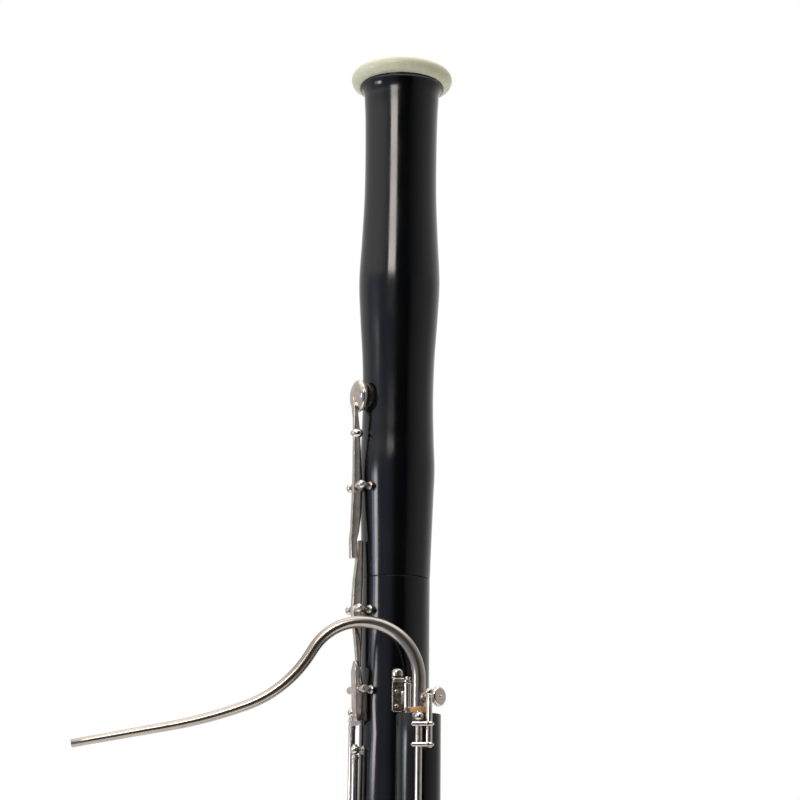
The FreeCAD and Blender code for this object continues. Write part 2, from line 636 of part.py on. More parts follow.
def opened(name, joint, x, y, height, axis, turn):
    """The placement of a key: its joint's frame, then its turn about its own axle."""
    there = f"placement(vector({x}; {y}; {height}); rotation(vector({axis}); {turn}))"
    back = f"placement(vector(-({x}); -({y}); -({height})); rotation(vector(0; 0; 1); 0))"
    return f"{joint_frame(joint, name + '_angle')} * {there} * {back}"


def wall_radius(key, height):
    """The radius of the wall that a key's posts stand on."""
    if key["joint"] == "wing" and height > value("boot_top"):
        return "wing_radius_top"
    if height > value("seam"):
        return "bell_wall_at_posts"
    return "long_radius_top" if height > value("boot_top") else "boot_radius"


def make_seesaw(name, key):
    """A key on a crosswise axle between two ball posts. Returns its metal, pad, posts and rod."""
    height, place, span = f"{name}_axle_height", f"{name}_axle_place", f"{name}_half_span"
    across = Vector(0, 1, 0)
    tube = cylinder("hinge_tube", f"2 * {span}", (place, f"-{span}", height), ALONG_Y)
    tail = (f"{name}_tail_place", 0, f"{name}_tail")
    pieces, tools, pad = [tube], [], None
    if "seat" in key:
        top = f"{name}_seat + pad_gap + cup_lip + cup_wall"
        cup, recess, pad = cup_and_pad(name)
        pieces.append(cup)
        tools.append(recess)
        head = (f"{top} + lever_wall / 2 - 0.4", 0, f"{name}_cup")
    else:
        head = (f"{name}_head_place", 0, f"{name}_head")
    middle = (place, 0, height)
    pieces.append(bar(middle, head, f"{name}_width", "lever_wall", across))
    pieces.append(bar(tail, middle, f"{name}_width", "lever_wall", across))
    reach = f"2 * {span} + 10"
    tools.append(cylinder("rod_radius + tube_play", reach, (place, f"-{span} - 5", height), ALONG_Y))
    metal = cut(name, fuse(name + "_solid", pieces), tools)
    gap = f"{span} + ball_radius + ball_gap"
    posts, rod_length = [], f"2 * ({gap} + rod_proud)"
    wall = wall_radius(key, value(height))
    for side in ("", "-"):
        posts.append(post(place, f"{side}({gap})", height, wall))
    rod = cylinder("rod_radius", rod_length, (place, f"-({gap}) - rod_proud", height), ALONG_Y)
    spin = ("0; 1; 0", f"{name}_turn")
    return finish_key(name, key, (place, "0", height), spin, metal, pad, posts, rod)


def make_rod_key(name, key):
    """A key on a lengthwise axle between two ball posts. Returns its metal, pad, posts and rod."""
    place, side = f"{name}_place", f"{name}_side"
    low, high = f"{name}_low", f"{name}_high"
    tube = cylinder("hinge_tube", f"{high} - {low}", (place, side, low))
    pieces, tools, pad = [tube], [], None
    upright = Vector(0, 0, 1)
    if "seat" in key:
        cup, recess, pad = cup_and_pad(name)
        top = f"{name}_seat + pad_gap + cup_lip + cup_wall"
        pieces.append(cup)
        tools.append(recess)
        pieces.append(bar((place, side, f"{name}_cup"), (f"{top} + 0.6", 0, f"{name}_cup"),
                          "cup_arm_width", "lever_wall", upright))
    if "touch" in key:
        touch = (f"{name}_touch_place", f"{name}_touch_side", f"{name}_touch")
        pieces.append(bar((place, side, f"{name}_touch"), touch, "touch_arm_width", "lever_wall", upright))
        pieces.append(block("touch_wall", "touch_width", f"{name}_touch_long",
                            (f"{name}_touch_place - touch_wall / 2", f"{name}_touch_side - touch_width / 2",
                             f"{name}_touch - {name}_touch_long / 2")))
    if "arm" in key:
        arm = (f"{name}_arm_place", f"{name}_arm_side", f"{name}_arm")
        pieces.append(bar((place, side, f"{name}_arm"), arm, "push_arm_width", "lever_wall", upright))
    if name == "whisper_key":
        pieces += whisper_top(name)
        pad = on_nib_line("nib_pad", "pad_wall", "nib_reach + pad_gap")
        tools.append(on_nib_line("nib_pad", "pad_wall + 1", "nib_reach + pad_gap - 1"))
    reach = f"{high} - {low} + 10"
    tools.append(cylinder("rod_radius + tube_play", reach, (place, side, f"{low} - 5")))
    metal = cut(name, fuse(name + "_solid", pieces), tools)
    gap = "ball_radius + ball_gap"
    wall = wall_radius(key, value(low))
    between = key["side"] * math.cos(math.radians(key["angle"])) * JOINT_SIDE[key["joint"]] < 0
    make_post = flat_post if wall == "boot_radius" and between else post
    posts = [make_post(place, side, f"{high} + {gap}", wall), make_post(place, side, f"{low} - {gap}", wall)]
    rod = cylinder("rod_radius", f"{high} - {low} + 2 * ({gap} + rod_proud)",
                   (place, side, f"{low} - ({gap}) - rod_proud"))
    spin = ("0; 0; 1", f"{name}_turn")
    return finish_key(name, key, (place, side, low), spin, metal, pad, posts, rod)


def on_nib_line(radius, length, start):
    """A round bar on the line of the crook's nib, start out from the crook's axis."""
    piece = doc.addObject("Part::Cylinder", "Nib_bar")
    bind(piece, Radius=radius, Height=length)
    return bind(piece, Placement="placement(vector(0; 0; nib_height); "
                "rotation(vector(0; 0; 1); 90 - nib_turn)) * "
                f"placement(vector({start}; 0; 0); rotation(vector(0; 1; 0); 90))")


def whisper_top(name):
    """The upper end of the whisper key: two clamps, a bar beside the hinge, and the small cup."""
    place, reach = f"{name}_place", "(nib_reach + nib_cup_wall)"
    pieces = []
    for height in ("clamp_low", "clamp_high"):
        pieces.append(block("clamp_width", "clamp_long", "clamp_wall",
                            (f"{place} - clamp_width / 2", "-clamp_width + 0.5",
                             f"{height} - clamp_wall / 2")))
    pieces.append(cylinder("side_bar", "side_bar_long", (f"{place} - 0.6", "side_bar_place", "side_bar_low")))
    pieces.append(bar((f"{place} - 0.6", "side_bar_place + 1", "nib_height"),
                      (f"{reach} * sin(nib_turn)", f"{reach} * cos(nib_turn)", "nib_height"),
                      "push_arm_width", "lever_wall", Vector(0, 0, 1)))
    pieces.append(on_nib_line("nib_cup", "nib_cup_wall", "nib_reach + pad_gap + cup_lip"))
    return pieces


def finish_key(name, key, axle, spin, metal, pad, posts, rod):
    """Turns a key to its open rest and puts its posts and rod beside it, unturned."""
    turned = opened(name, key["joint"], *axle, *spin)
    bind(metal, Placement=turned)
    padding = None
    if pad:
        padding = bind(compound(name.replace("_key", "_pad"), [pad]), Placement=turned)
    still = joint_frame(key["joint"], name + "_angle")
    stems = cut(name + "_posts", fuse(name + "_post_pair", posts), [rod])
    bind(stems, Placement=still)
    axle_rod = bind(compound(name + "_rod", [rod]), Placement=still)
    return metal, padding, stems, axle_rod


def make_keys():
    nodes, rods = {}, []
    posts = {"bell_posts": [], "long_joint_posts": [], "wing_joint_posts": [], "boot_posts": []}
    for name, key in {**SEESAWS, **RODS}.items():
        make = make_seesaw if name in SEESAWS else make_rod_key
        metal, pad, stems, rod = make(name, key)
        nodes[name] = metal
        if pad:
            nodes[name.replace("_key", "_pad")] = pad
        rods.append(rod)
        height = key.get("axle_height", key.get("low"))
        if height > value("seam"):
            posts["bell_posts"].append(stems)
        elif height < value("boot_top"):
            posts["boot_posts"].append(stems)
        else:
            posts[f"{key['joint']}_joint_posts"].append(stems)
    nodes["hinge_rods"] = compound("hinge_rods", rods)
    for group, members in posts.items():
        nodes[group] = compound(group, members)
    return nodes


def make_nodes():
    nodes = {"boot_body": make_boot(), "u_bend_tube": make_u_bend(), "long_joint": make_long_joint(),
             "wing_joint": make_wing_joint(), "bell": make_bell(), "bell_ring": make_bell_ring(),
             "strap_ring": make_strap_ring()}
    for group in (make_boot_fittings(), make_corks(), make_bocal(), make_lock(), make_hand_rest(),
                  make_keys()):
        nodes.update(group)
    return nodes


def export(nodes):
    """Checks every object and writes one STEP file for each node."""
    doc.recompute()
    failed = [item.Name for item in doc.Objects if {"Invalid", "Error"} & set(item.State)]
    if failed:
        raise RuntimeError(f"objects that failed: {failed}")
    os.makedirs("parts", exist_ok=True)
    for name, piece in nodes.items():
        piece.Label = name
        if piece.Shape.isNull() or not piece.Shape.isValid() or not piece.Shape.Solids:
            raise RuntimeError(f"{name} has no valid solid")
        piece.Shape.exportStep(f"parts/{name}.step")


nodes = make_nodes()
export(nodes)
print(len(nodes), "nodes")
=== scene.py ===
"""Looks of the bassoon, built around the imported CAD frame. Metres, +Z up, in the frame of the part.

Key work is drawn in millimetres in the frame of the joint that carries it: x points out of the joint,
y runs round it and z is up. It is drawn closed and then turned to its open rest about its own axle.
"""
import json
import math
import bpy
from mathutils import Matrix, Vector


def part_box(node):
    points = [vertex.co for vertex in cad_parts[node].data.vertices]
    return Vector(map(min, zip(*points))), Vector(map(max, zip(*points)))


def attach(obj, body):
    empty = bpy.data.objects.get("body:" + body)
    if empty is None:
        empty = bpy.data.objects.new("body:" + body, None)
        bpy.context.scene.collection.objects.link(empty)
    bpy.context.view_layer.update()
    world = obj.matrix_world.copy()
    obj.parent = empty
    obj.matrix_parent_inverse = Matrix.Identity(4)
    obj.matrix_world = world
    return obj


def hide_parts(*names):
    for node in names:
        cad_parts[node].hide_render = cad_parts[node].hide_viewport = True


MM = 0.001
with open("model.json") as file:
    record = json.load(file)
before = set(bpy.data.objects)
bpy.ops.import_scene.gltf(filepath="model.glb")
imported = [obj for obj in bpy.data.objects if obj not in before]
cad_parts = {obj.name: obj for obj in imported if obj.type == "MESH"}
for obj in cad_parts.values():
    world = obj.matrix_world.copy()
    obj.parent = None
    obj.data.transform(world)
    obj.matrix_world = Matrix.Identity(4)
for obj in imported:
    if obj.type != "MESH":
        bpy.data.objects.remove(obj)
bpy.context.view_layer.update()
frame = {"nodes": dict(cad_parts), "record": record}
nodes = frame["nodes"]


def centre(node):
    low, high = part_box(node)
    return (low + high) / 2


LONG_AXIS = Vector((centre("bell_ring").x, centre("bell_ring").y, 0))
WING_AXIS = Vector((centre("bocal_cork").x, centre("bocal_cork").y, 0))
AXES = {"long": LONG_AXIS, "wing": WING_AXIS}
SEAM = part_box("bell")[0].z / MM
WING_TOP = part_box("wing_joint")[1].z / MM
BOOT_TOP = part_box("boot_top_ferrule")[1].z / MM
UP = Vector((0, 0, 1))
ACROSS = Vector((0, 1, 0))


# ------------------------------------------------------------------ materials

class Shader:
    """A node material under construction, with one Principled shader."""

    def __init__(self, name, **constants):
        self.material = bpy.data.materials.new(name)
        self.material.use_nodes = True
        self.tree = self.material.node_tree
        self.shader = self.tree.nodes["Principled BSDF"]
        for socket, amount in constants.items():
            self.shader.inputs[socket.replace("_", " ")].default_value = amount
        self.place = self.node("ShaderNodeTexCoord").outputs["Object"]

    def node(self, kind, **inputs):
        made = self.tree.nodes.new(kind)
        for socket, source in inputs.items():
            self.join(source, made.inputs[socket.replace("_", " ")])
        return made

    def join(self, source, target):
        if isinstance(source, bpy.types.NodeSocket):
            self.tree.links.new(source, target)
        else:
            target.default_value = source

    def stretched(self, scale):
        mapping = self.node("ShaderNodeMapping", Vector=self.place, Scale=scale)
        return mapping.outputs["Vector"]

    def noise(self, size, detail=3.0, stretch=(1, 1, 1), roughness=0.55):
        """Noise with blots about size metres across."""
        return self.node("ShaderNodeTexNoise", Vector=self.stretched(stretch), Scale=1 / size,
                         Detail=detail, Roughness=roughness).outputs["Fac"]

    def ramp(self, factor, stops):
        made = self.node("ShaderNodeValToRGB", Fac=factor)
        fill_ramp(made.color_ramp, stops)
        return made.outputs["Color"]

    def paint(self, factor, stops):
        self.join(self.ramp(factor, stops), self.shader.inputs["Base Color"])

    def roughen(self, factor, low, high, start=0.3, end=0.7):
        spread = self.node("ShaderNodeMapRange", Value=factor)
        for socket, amount in (("From Min", start), ("From Max", end), ("To Min", low), ("To Max", high)):
            spread.inputs[socket].default_value = amount
        self.join(spread.outputs["Result"], self.shader.inputs["Roughness"])

    def bump(self, height, depth, strength=1.0):
        made = self.node("ShaderNodeBump", Height=height)
        made.inputs["Strength"].default_value = strength
        made.inputs["Distance"].default_value = depth
        self.join(made.outputs["Normal"], self.shader.inputs["Normal"])


def fill_ramp(ramp, stops):
    while len(ramp.elements) < len(stops):
        ramp.elements.new(0.5)
    for element, (place, colour) in zip(ramp.elements, stops):
        element.position = place
        element.color = (*colour, 1)


def black_ebonite():
    """Polished black ebonite with handling marks and a slight draw along the bore."""
    look = Shader("black_ebonite", IOR=1.54)
    smudge = look.noise(0.03, 4, (1, 1, 0.45))
    look.paint(smudge, [(0.3, (0.0009, 0.0011, 0.0016)), (0.7, (0.0022, 0.0026, 0.0036))])
    look.roughen(look.noise(0.016, 6, (1, 1, 0.5)), 0.1, 0.2, 0.35, 0.72)
    look.bump(look.noise(0.0045, 4, (1, 1, 0.22)), 0.000012, 0.5)
    return look.material


def ivory():
    """Pale ivory coloured plastic with faint streaks round the ring."""
    look = Shader("ivory_plastic", IOR=1.5, Subsurface_Weight=0.12, Subsurface_Scale=0.004)
    look.paint(look.noise(0.012, 5, (1, 1, 2.4)), [(0.25, (0.74, 0.72, 0.51)), (0.75, (0.775, 0.76, 0.56))])
    look.roughen(look.noise(0.006, 4), 0.2, 0.34)
    look.bump(look.noise(0.0035, 4, (1, 1, 2)), 0.00002, 0.5)
    return look.material


def silver(name, light, dark, low, high, grain=0.00001):
    """Plated nickel silver: slightly warm, with dull patches and polishing lines grain metres deep."""
    look = Shader(name, Metallic=1.0)
    look.paint(look.noise(0.007, 6, roughness=0.65), [(0.34, dark), (0.62, light)])
    look.roughen(look.noise(0.003, 5), low, high)
    look.bump(look.noise(0.0014, 4, (1, 1, 0.3)), grain, 0.5)
    return look.material


def aged_silver():
    """Nickel silver gone brown and grainy, worn bright in specks."""
    look = Shader("aged_silver", Metallic=1.0)
    look.paint(look.noise(0.0011, 6, roughness=0.7),
               [(0.38, (0.10, 0.085, 0.06)), (0.52, (0.22, 0.19, 0.14)), (0.66, (0.6, 0.55, 0.45))])
    look.roughen(look.noise(0.0012, 5), 0.3, 0.55)
    look.bump(look.noise(0.0007, 4), 0.00008, 0.7)
    return look.material


def cork():
    look = Shader("waxed_cork", Roughness=0.62)
    cells = look.node("ShaderNodeTexVoronoi", Vector=look.stretched((1, 1, 1)), Scale=1 / 0.0011)
    look.paint(look.noise(0.0016, 6),
               [(0.28, (0.24, 0.10, 0.03)), (0.45, (0.56, 0.30, 0.11)), (0.7, (0.68, 0.42, 0.19))])
    look.bump(cells.outputs["Distance"], 0.0002, 0.6)
    return look.material


def pad_leather():
    look = Shader("pad_leather", Roughness=0.5)
    look.paint(look.noise(0.004, 5), [(0.3, (0.50, 0.40, 0.27)), (0.7, (0.66, 0.56, 0.41))])
    look.bump(look.noise(0.0007, 4), 0.00006, 0.7)
    return look.material


def rod_steel():
    look = Shader("rod_steel", Metallic=1.0)
    look.paint(look.noise(0.004, 4), [(0.3, (0.42, 0.42, 0.43)), (0.7, (0.55, 0.55, 0.56))])
    look.roughen(look.noise(0.003, 4), 0.2, 0.36)
    look.bump(look.noise(0.0012, 3), 0.00001, 0.4)
    return look.material


LOOKS = {
    "black_body": black_ebonite(),
    "ivory_ring": ivory(),
    "bocal_silver": silver("bocal_silver", (0.46, 0.41, 0.36), (0.39, 0.35, 0.305), 0.24, 0.26, 4e-7),
    "key_silver": silver("key_silver", (0.74, 0.67, 0.615), (0.58, 0.51, 0.455), 0.1, 0.24),
    "fitting_silver": silver("fitting_silver", (0.67, 0.63, 0.575), (0.62, 0.58, 0.525), 0.17, 0.24),
    "rod_steel": rod_steel(),
    "pad_leather": pad_leather(),
    "tenon_cork": cork(),
}
AGED = aged_silver()
SLOT_OF = {part["node"]: part["material_slot"] for part in frame["record"]["subparts"]}
SHARP = math.radians(38)
WELD_REACH, EDGE_BEVEL = 2e-6, 0.00018
SMOOTHED = ("boot_cap", "boot_top_ferrule", "boot_bottom_band", "hand_rest_socket", "boot_body",
            "long_joint")


def smooth_cad(shown):
    """Welds a carried-over node's triangles, breaks its sharp edges and shades its large faces evenly."""
    weld = shown.modifiers.new("weld", "WELD")
    weld.merge_threshold = WELD_REACH
    bevel = shown.modifiers.new("soft_edges", "BEVEL")
    bevel.limit_method = "ANGLE"
    bevel.angle_limit = SHARP
    bevel.width = EDGE_BEVEL
    bevel.segments = 2
    even = shown.modifiers.new("even_shading", "WEIGHTED_NORMAL")
    even.weight = 100
    even.keep_sharp = False


for name, shown in nodes.items():
    shown.data.materials.clear()
    shown.data.materials.append(LOOKS[SLOT_OF[name]])


# ------------------------------------------------------------------ mesh tools

class Shape:
    """Closed shells gathered into one piece. Sizes are in millimetres in the frame it is given."""

    def __init__(self, place=Matrix.Scale(MM, 4)):
        self.place, self.verts, self.faces = place, [], []

    def skin(self, rings, joined=False):
        """Skins a row of closed rings of points, and caps both ends or joins the last to the first."""
        count, base = len(rings[0]), len(self.verts)
        for ring in rings:
            self.verts += [self.place @ point for point in ring]
        for row in range(len(rings) if joined else len(rings) - 1):
            near, far = base + row * count, base + (row + 1) % len(rings) * count
            for column in range(count):
                after = (column + 1) % count
                self.faces.append((near + column, near + after, far + after, far + column))
        if not joined:
            last = base + (len(rings) - 1) * count
            self.faces.append(tuple(range(base + count - 1, base - 1, -1)))
            self.faces.append(tuple(range(last, last + count)))

    def turned(self, outline, place=(0, 0, 0), aim=UP, segments=32, knurl=0.0, joined=False):
        """Turns (distance along the axis, radius) pairs about the line through place along aim."""
        aim = Vector(aim).normalized()
        side = aim.orthogonal().normalized()
        over = aim.cross(side)
        rings = []
        for along, radius in outline:
            ring = []
            for step in range(segments):
                angle = 2 * math.pi * step / segments
                reach = radius * (1 - knurl * (step % 2))
                ring.append(Vector(place) + aim * along
                            + (side * math.cos(angle) + over * math.sin(angle)) * reach)
            rings.append(ring)
        self.skin(rings, joined)

    def ball(self, place, radius):
        steps = [math.radians(4 + 172 * step / 14) for step in range(15)]
        self.turned([(-radius * math.cos(t), radius * math.sin(t)) for t in steps], place, segments=28)

    def hoop(self, place, aim, radius, wire):
        steps = [2 * math.pi * step / 16 for step in range(16)]
        self.turned([(wire * math.sin(t), radius - wire * math.cos(t)) for t in steps], place, aim, 48,
                    joined=True)

    def bar(self, points, widths, walls, across, corner=0.35):
        """A bar of rounded rectangular section along points, widths wide along across."""
        points = [Vector(point) for point in points]
        rings = []
        last = len(points) - 1
        for index, point in enumerate(points):
            along = (points[min(index + 1, last)] - points[max(index - 1, 0)]).normalized()
            wide = (across - along * across.dot(along)).normalized()
            deep = along.cross(wide)
            stations = [(point, 1.0)]
            if index == 0:
                stations = [(point, 0.0), (point + along * corner, 1.0)]
            if index == last:
                stations = [(point - along * corner, 1.0), (point, 0.0)]
            for middle, full in stations:
                inset = corner * (1 - full)
                rings.append(self.section(middle, wide, deep, widths[index] / 2 - inset,
                                          walls[index] / 2 - inset, corner))
        self.skin(rings)

    def section(self, middle, wide, deep, half_width, half_wall, corner):
        """One rounded rectangle of a bar."""
        corner = min(corner, 0.98 * half_width, 0.98 * half_wall)
        ring = []
        for quarter, (side, rise) in enumerate(((1, 1), (-1, 1), (-1, -1), (1, -1))):
            for step in range(4):
                angle = math.pi / 2 * (quarter + step / 3)
                ring.append(middle + wide * (side * (half_width - corner) + corner * math.cos(angle))
                            + deep * (rise * (half_wall - corner) + corner * math.sin(angle)))
        return ring

    def screw(self, place, aim, radius, height, turn=0.6, slot=0.5):
        """A slotted screw head that stands on place."""
        aim = Vector(aim).normalized()
        side = Matrix.Rotation(turn, 3, aim) @ aim.orthogonal().normalized()
        over = aim.cross(side)
        self.turned([(-0.3, radius), (height * 0.45, radius)], place, aim, 24)
        for flip in (1, -1):
            rings = []
            for along, size in ((0, radius), (height * 0.8, radius), (height, radius * 0.86)):
                start = math.asin(slot / 2 / size)
                angles = [start + (math.pi - 2 * start) * step / 10 for step in range(11)]
                rings.append([Vector(place) + aim * along
                              + (side * math.cos(a) + over * math.sin(a)) * size * flip for a in angles])
            self.skin(rings)

    def make(self, name, body, slot, *stands_for, look=None):
        mesh = bpy.data.meshes.new(name)
        mesh.from_pydata([tuple(vert) for vert in self.verts], [], self.faces)
        mesh.validate()
        for face in mesh.polygons:
            face.use_smooth = True
        mesh.set_sharp_from_angle(angle=SHARP)
        mesh.materials.append(look or LOOKS[slot])
        made = bpy.data.objects.new(name, mesh)
        bpy.context.scene.collection.objects.link(made)
        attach(made, body)
        if stands_for:
            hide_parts(*stands_for)
        return made


def joint_frame(joint, angle):
    """The frame that a joint's keys are drawn in."""
    return (Matrix.Translation(AXES[joint]) @ Matrix.Rotation(math.radians(angle), 4, "Z")
            @ Matrix.Scale(MM, 4))


def opened(joint, angle, axle, aim, turn):
    """A joint's frame, turned about an axle in it."""
    there = Matrix.Translation(Vector(axle))
    return (joint_frame(joint, angle) @ there @ Matrix.Rotation(math.radians(turn), 4, aim)
            @ there.inverted())


def barrel(length, radius, edge=0.3):
    """The outline of a round bar with rounded ends."""
    steps = [math.pi / 2 * step / 3 for step in range(4)]
    start = [(edge * (1 - math.cos(t)), radius - edge * (1 - math.sin(t))) for t in steps]
    return start + [(length - along, size) for along, size in reversed(start)]


def spline(points, steps):
    """A smooth line through points, as a Catmull-Rom spline."""
    ends = [2 * points[0] - points[1]] + points + [2 * points[-1] - points[-2]]
    line = []
    for index in range(len(points) - 1):
        a, b, c, d = ends[index:index + 4]
        for step in range(steps):
            t = step / steps
            line.append(0.5 * (2 * b + (c - a) * t + (2 * a - 5 * b + 4 * c - d) * t ** 2
                               + (3 * b - a - 3 * c + d) * t ** 3))
    return line + [points[-1]]


# ------------------------------------------------------------------ stage, camera, light

VIEW_TURN = math.radians(26.1)
VIEW_TILT = math.radians(14)
VIEW_ROLL = math.radians(0.68)
VIEW_DISTANCE = 1.3058
VIEW_SIDE = 0.00135
VIEW_HEIGHT = 0.7837
LENS, SENSOR, NEAR_CLIP = 90, 36, 0.05
LAMP_DISTANCE = 2.2

# name, turn, height, height it aims at, width, tallness, power, colour
LAMPS = (
    ("window", -22.5, 2.24, 1.3, 0.8, 0.7, 17, (1.0, 0.94, 0.87)),
    ("strip", -69, 1.2, 1.05, 0.44, 0.46, 5.5, (1.0, 0.95, 0.9)),
    ("sky", -80, 1.2, 1.05, 0.3, 0.46, 1.3, (0.6, 0.75, 1.0)),
)


def make_camera():
    """The picture's camera: low, looking up at the bell, rolled a touch."""
    ahead = Vector((math.sin(VIEW_TURN), math.cos(VIEW_TURN), 0))
    right = Vector((ahead.y, -ahead.x, 0))
    data = bpy.data.cameras.new("camera")
    data.lens, data.sensor_width, data.clip_start = LENS, SENSOR, NEAR_CLIP
    camera = bpy.data.objects.new("camera", data)
    place = LONG_AXIS - ahead * VIEW_DISTANCE + right * VIEW_SIDE + Vector((0, 0, VIEW_HEIGHT))
    look = (Matrix.Rotation(-VIEW_TURN, 4, "Z") @ Matrix.Rotation(math.pi / 2 + VIEW_TILT, 4, "X")
            @ Matrix.Rotation(VIEW_ROLL, 4, "Z"))
    camera.matrix_world = Matrix.Translation(place) @ look
    bpy.context.scene.collection.objects.link(camera)
    bpy.context.scene.camera = camera


def toward(turn):
    """The level direction at a turn from the camera's side of the object, positive to picture right."""
    heading = -math.pi / 2 - VIEW_TURN + math.radians(turn)
    return Vector((math.cos(heading), math.sin(heading), 0))


def softbox(name, turn, height, aim_height, width, tall, power, colour):
    """A soft lamp at a turn round the object, aimed at a height on its axis and unseen by the lens."""
    data = bpy.data.lights.new(name, "AREA")
    data.shape, data.size, data.size_y = "RECTANGLE", width, tall
    data.energy, data.color = power, colour
    lamp = bpy.data.objects.new(name, data)
    place = LONG_AXIS + toward(turn) * LAMP_DISTANCE + Vector((0, 0, height))
    target = LONG_AXIS + Vector((0, 0, aim_height))
    lamp.matrix_world = (Matrix.Translation(place)
                         @ (target - place).to_track_quat("-Z", "Y").to_matrix().to_4x4())
    lamp.visible_camera = False
    bpy.context.scene.collection.objects.link(lamp)


# brightness of the studio by turn from the camera's side, low down and higher up, with its tint
BLUISH = (0.92, 1.0, 1.28)
WARM = (1.0, 0.985, 0.97)
ROUND_LOW = (
    (-180, 1.0, WARM), (-147, 0.6, WARM), (-111, 0.62, WARM), (-95, 0.42, BLUISH), (-80, 0.5, BLUISH),
    (-66, 0.46, BLUISH), (-51, 0.29, BLUISH), (-34, 0.3, BLUISH), (-18, 0.2, BLUISH), (-4, 0.03, WARM),
    (28, 0.015, WARM), (37, 0.14, WARM), (61, 0.29, WARM), (80, 0.38, WARM), (101, 0.42, WARM),
    (130, 0.75, WARM), (180, 1.0, WARM))
ROUND_HIGH = tuple((turn, light, WARM) for turn, light in (
    (-180, 1.0), (-147, 0.65), (-117, 0.62), (-94, 0.8), (-72, 0.95), (-54, 0.85), (-34, 0.4), (-10, 0.08),
    (0, 0.03), (22, 0.02), (37, 0.1), (61, 0.25), (80, 0.4), (101, 0.5), (130, 0.8), (180, 1.0)))
OVERHEAD = (2.0, 2.0, 2.0, 1)
# the sines of the heights over which the low band passes into the high one, and that into the overhead
HIGH_BLEND = (0.26, 0.33)
OVERHEAD_BLEND = (0.6, 0.92)
FLOOR_REACH, FLOOR_WALL = 1.1, 0.02


def make_world():
    """A pale studio, dark behind the camera, brighter to the sides and overhead, and white to the lens."""
    world = bpy.data.worlds.new("studio")
    world.use_nodes = True
    tree = world.node_tree
    tree.nodes.clear()

    def add(kind, operation=None, **inputs):
        made = tree.nodes.new(kind)
        if operation:
            made.operation = operation
        for socket, source in inputs.items():
            target = made.inputs[int(socket[1:])] if socket[1:].isdigit() else made.inputs[socket]
            if isinstance(source, bpy.types.NodeSocket):
                tree.links.new(source, target)
            else:
                target.default_value = source
        return made

    sight = add("ShaderNodeTexCoord").outputs["Generated"]
    ahead = add("ShaderNodeVectorMath", "DOT_PRODUCT", _0=sight, _1=toward(0)).outputs["Value"]
    aside = add("ShaderNodeVectorMath", "DOT_PRODUCT", _0=sight, _1=toward(90)).outputs["Value"]
    turn = add("ShaderNodeMath", "ARCTAN2", _0=aside, _1=ahead).outputs["Value"]
    share = add("ShaderNodeMapRange", _0=turn, _1=-math.pi, _2=math.pi).outputs["Result"]
    rise = add("ShaderNodeSeparateXYZ", _0=sight).outputs["Z"]

    def round_ramp(stops):
        made = add("ShaderNodeValToRGB", _0=share)
        fill_ramp(made.color_ramp, [(0.5 + turn / 360, [light * part for part in tint])
                                    for turn, light, tint in stops])
        return made.outputs["Color"]

    def mix(first, second, heights):
        part = add("ShaderNodeMapRange", _0=rise, _1=heights[0], _2=heights[1])
        part.interpolation_type = "SMOOTHSTEP"
        made = add("ShaderNodeMixRGB", _0=part.outputs["Result"], _1=first, _2=second)
        return made.outputs["Color"]

    around = mix(round_ramp(ROUND_LOW), round_ramp(ROUND_HIGH), HIGH_BLEND)
    around = mix(around, OVERHEAD, OVERHEAD_BLEND)
    studio = add("ShaderNodeBackground", _0=around)
    plain = add("ShaderNodeBackground", _0=(1, 1, 1, 1))
    lens = add("ShaderNodeLightPath").outputs["Is Camera Ray"]
    both = add("ShaderNodeMixShader", _0=lens, _1=studio.outputs[0], _2=plain.outputs[0])
    add("ShaderNodeOutputWorld", _0=both.outputs[0])
    bpy.context.scene.world = world


def make_floor():
    """A plain pale disc under the foot."""
    look = Shader("pale_floor", Roughness=0.85)
    look.paint(look.noise(0.5, 3), [(0.3, (0.90, 0.90, 0.90)), (0.7, (0.93, 0.93, 0.93))])
    floor = Shape(Matrix())
    floor.turned([(-FLOOR_WALL, FLOOR_REACH), (0, FLOOR_REACH)], segments=96)
    mesh = bpy.data.meshes.new("floor")
    mesh.from_pydata([tuple(vert) for vert in floor.verts], [], floor.faces)
    mesh.materials.append(look.material)
    made = bpy.data.objects.new("floor", mesh)
    bpy.context.scene.collection.objects.link(made)


make_camera()
make_world()
make_floor()
for lamp in LAMPS:
    softbox(*lamp)


# ------------------------------------------------------------------ bell and ring

BELL_OUTSIDE = [(22.45, 987), (23.35, 1014), (24.35, 1041), (25.05, 1061), (24.25, 1082), (23.7, 1109),
                (24.4, 1137), (26.25, 1165), (27.45, 1192), (26.05, 1222), (24.85, 1252), (24.7, 1281),
                (25.15, 1310), (25.8, 1324)]
RING_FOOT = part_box("bell_ring")[0].z / MM
RING_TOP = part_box("bell_ring")[1].z / MM
RING_REACH = (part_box("bell_ring")[1].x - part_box("bell_ring")[0].x) / 2 / MM
RING_THROAT, RING_MOUTH, THROAT_ROUND = 20.7, 26.5, 8.5
FLANGE, FLARE_LENGTH, FLARE_RISE, FLARE_STEPS = 29.2, 9.2, 3.4, 10
BELL_BORE, SOCKET_STEP, SOCKET_WALL, SOCKET_LENGTH = 20.6, 16.5, 19.5, 30
BELL_HOLE, BELL_SEAT, BELL_CUP = 1108.2, 24.6, 10.8


def on_axis(joint):
    """The frame of a joint's own axis, in millimetres."""
    return Matrix.Translation(AXES[joint]) @ Matrix.Scale(MM, 4)


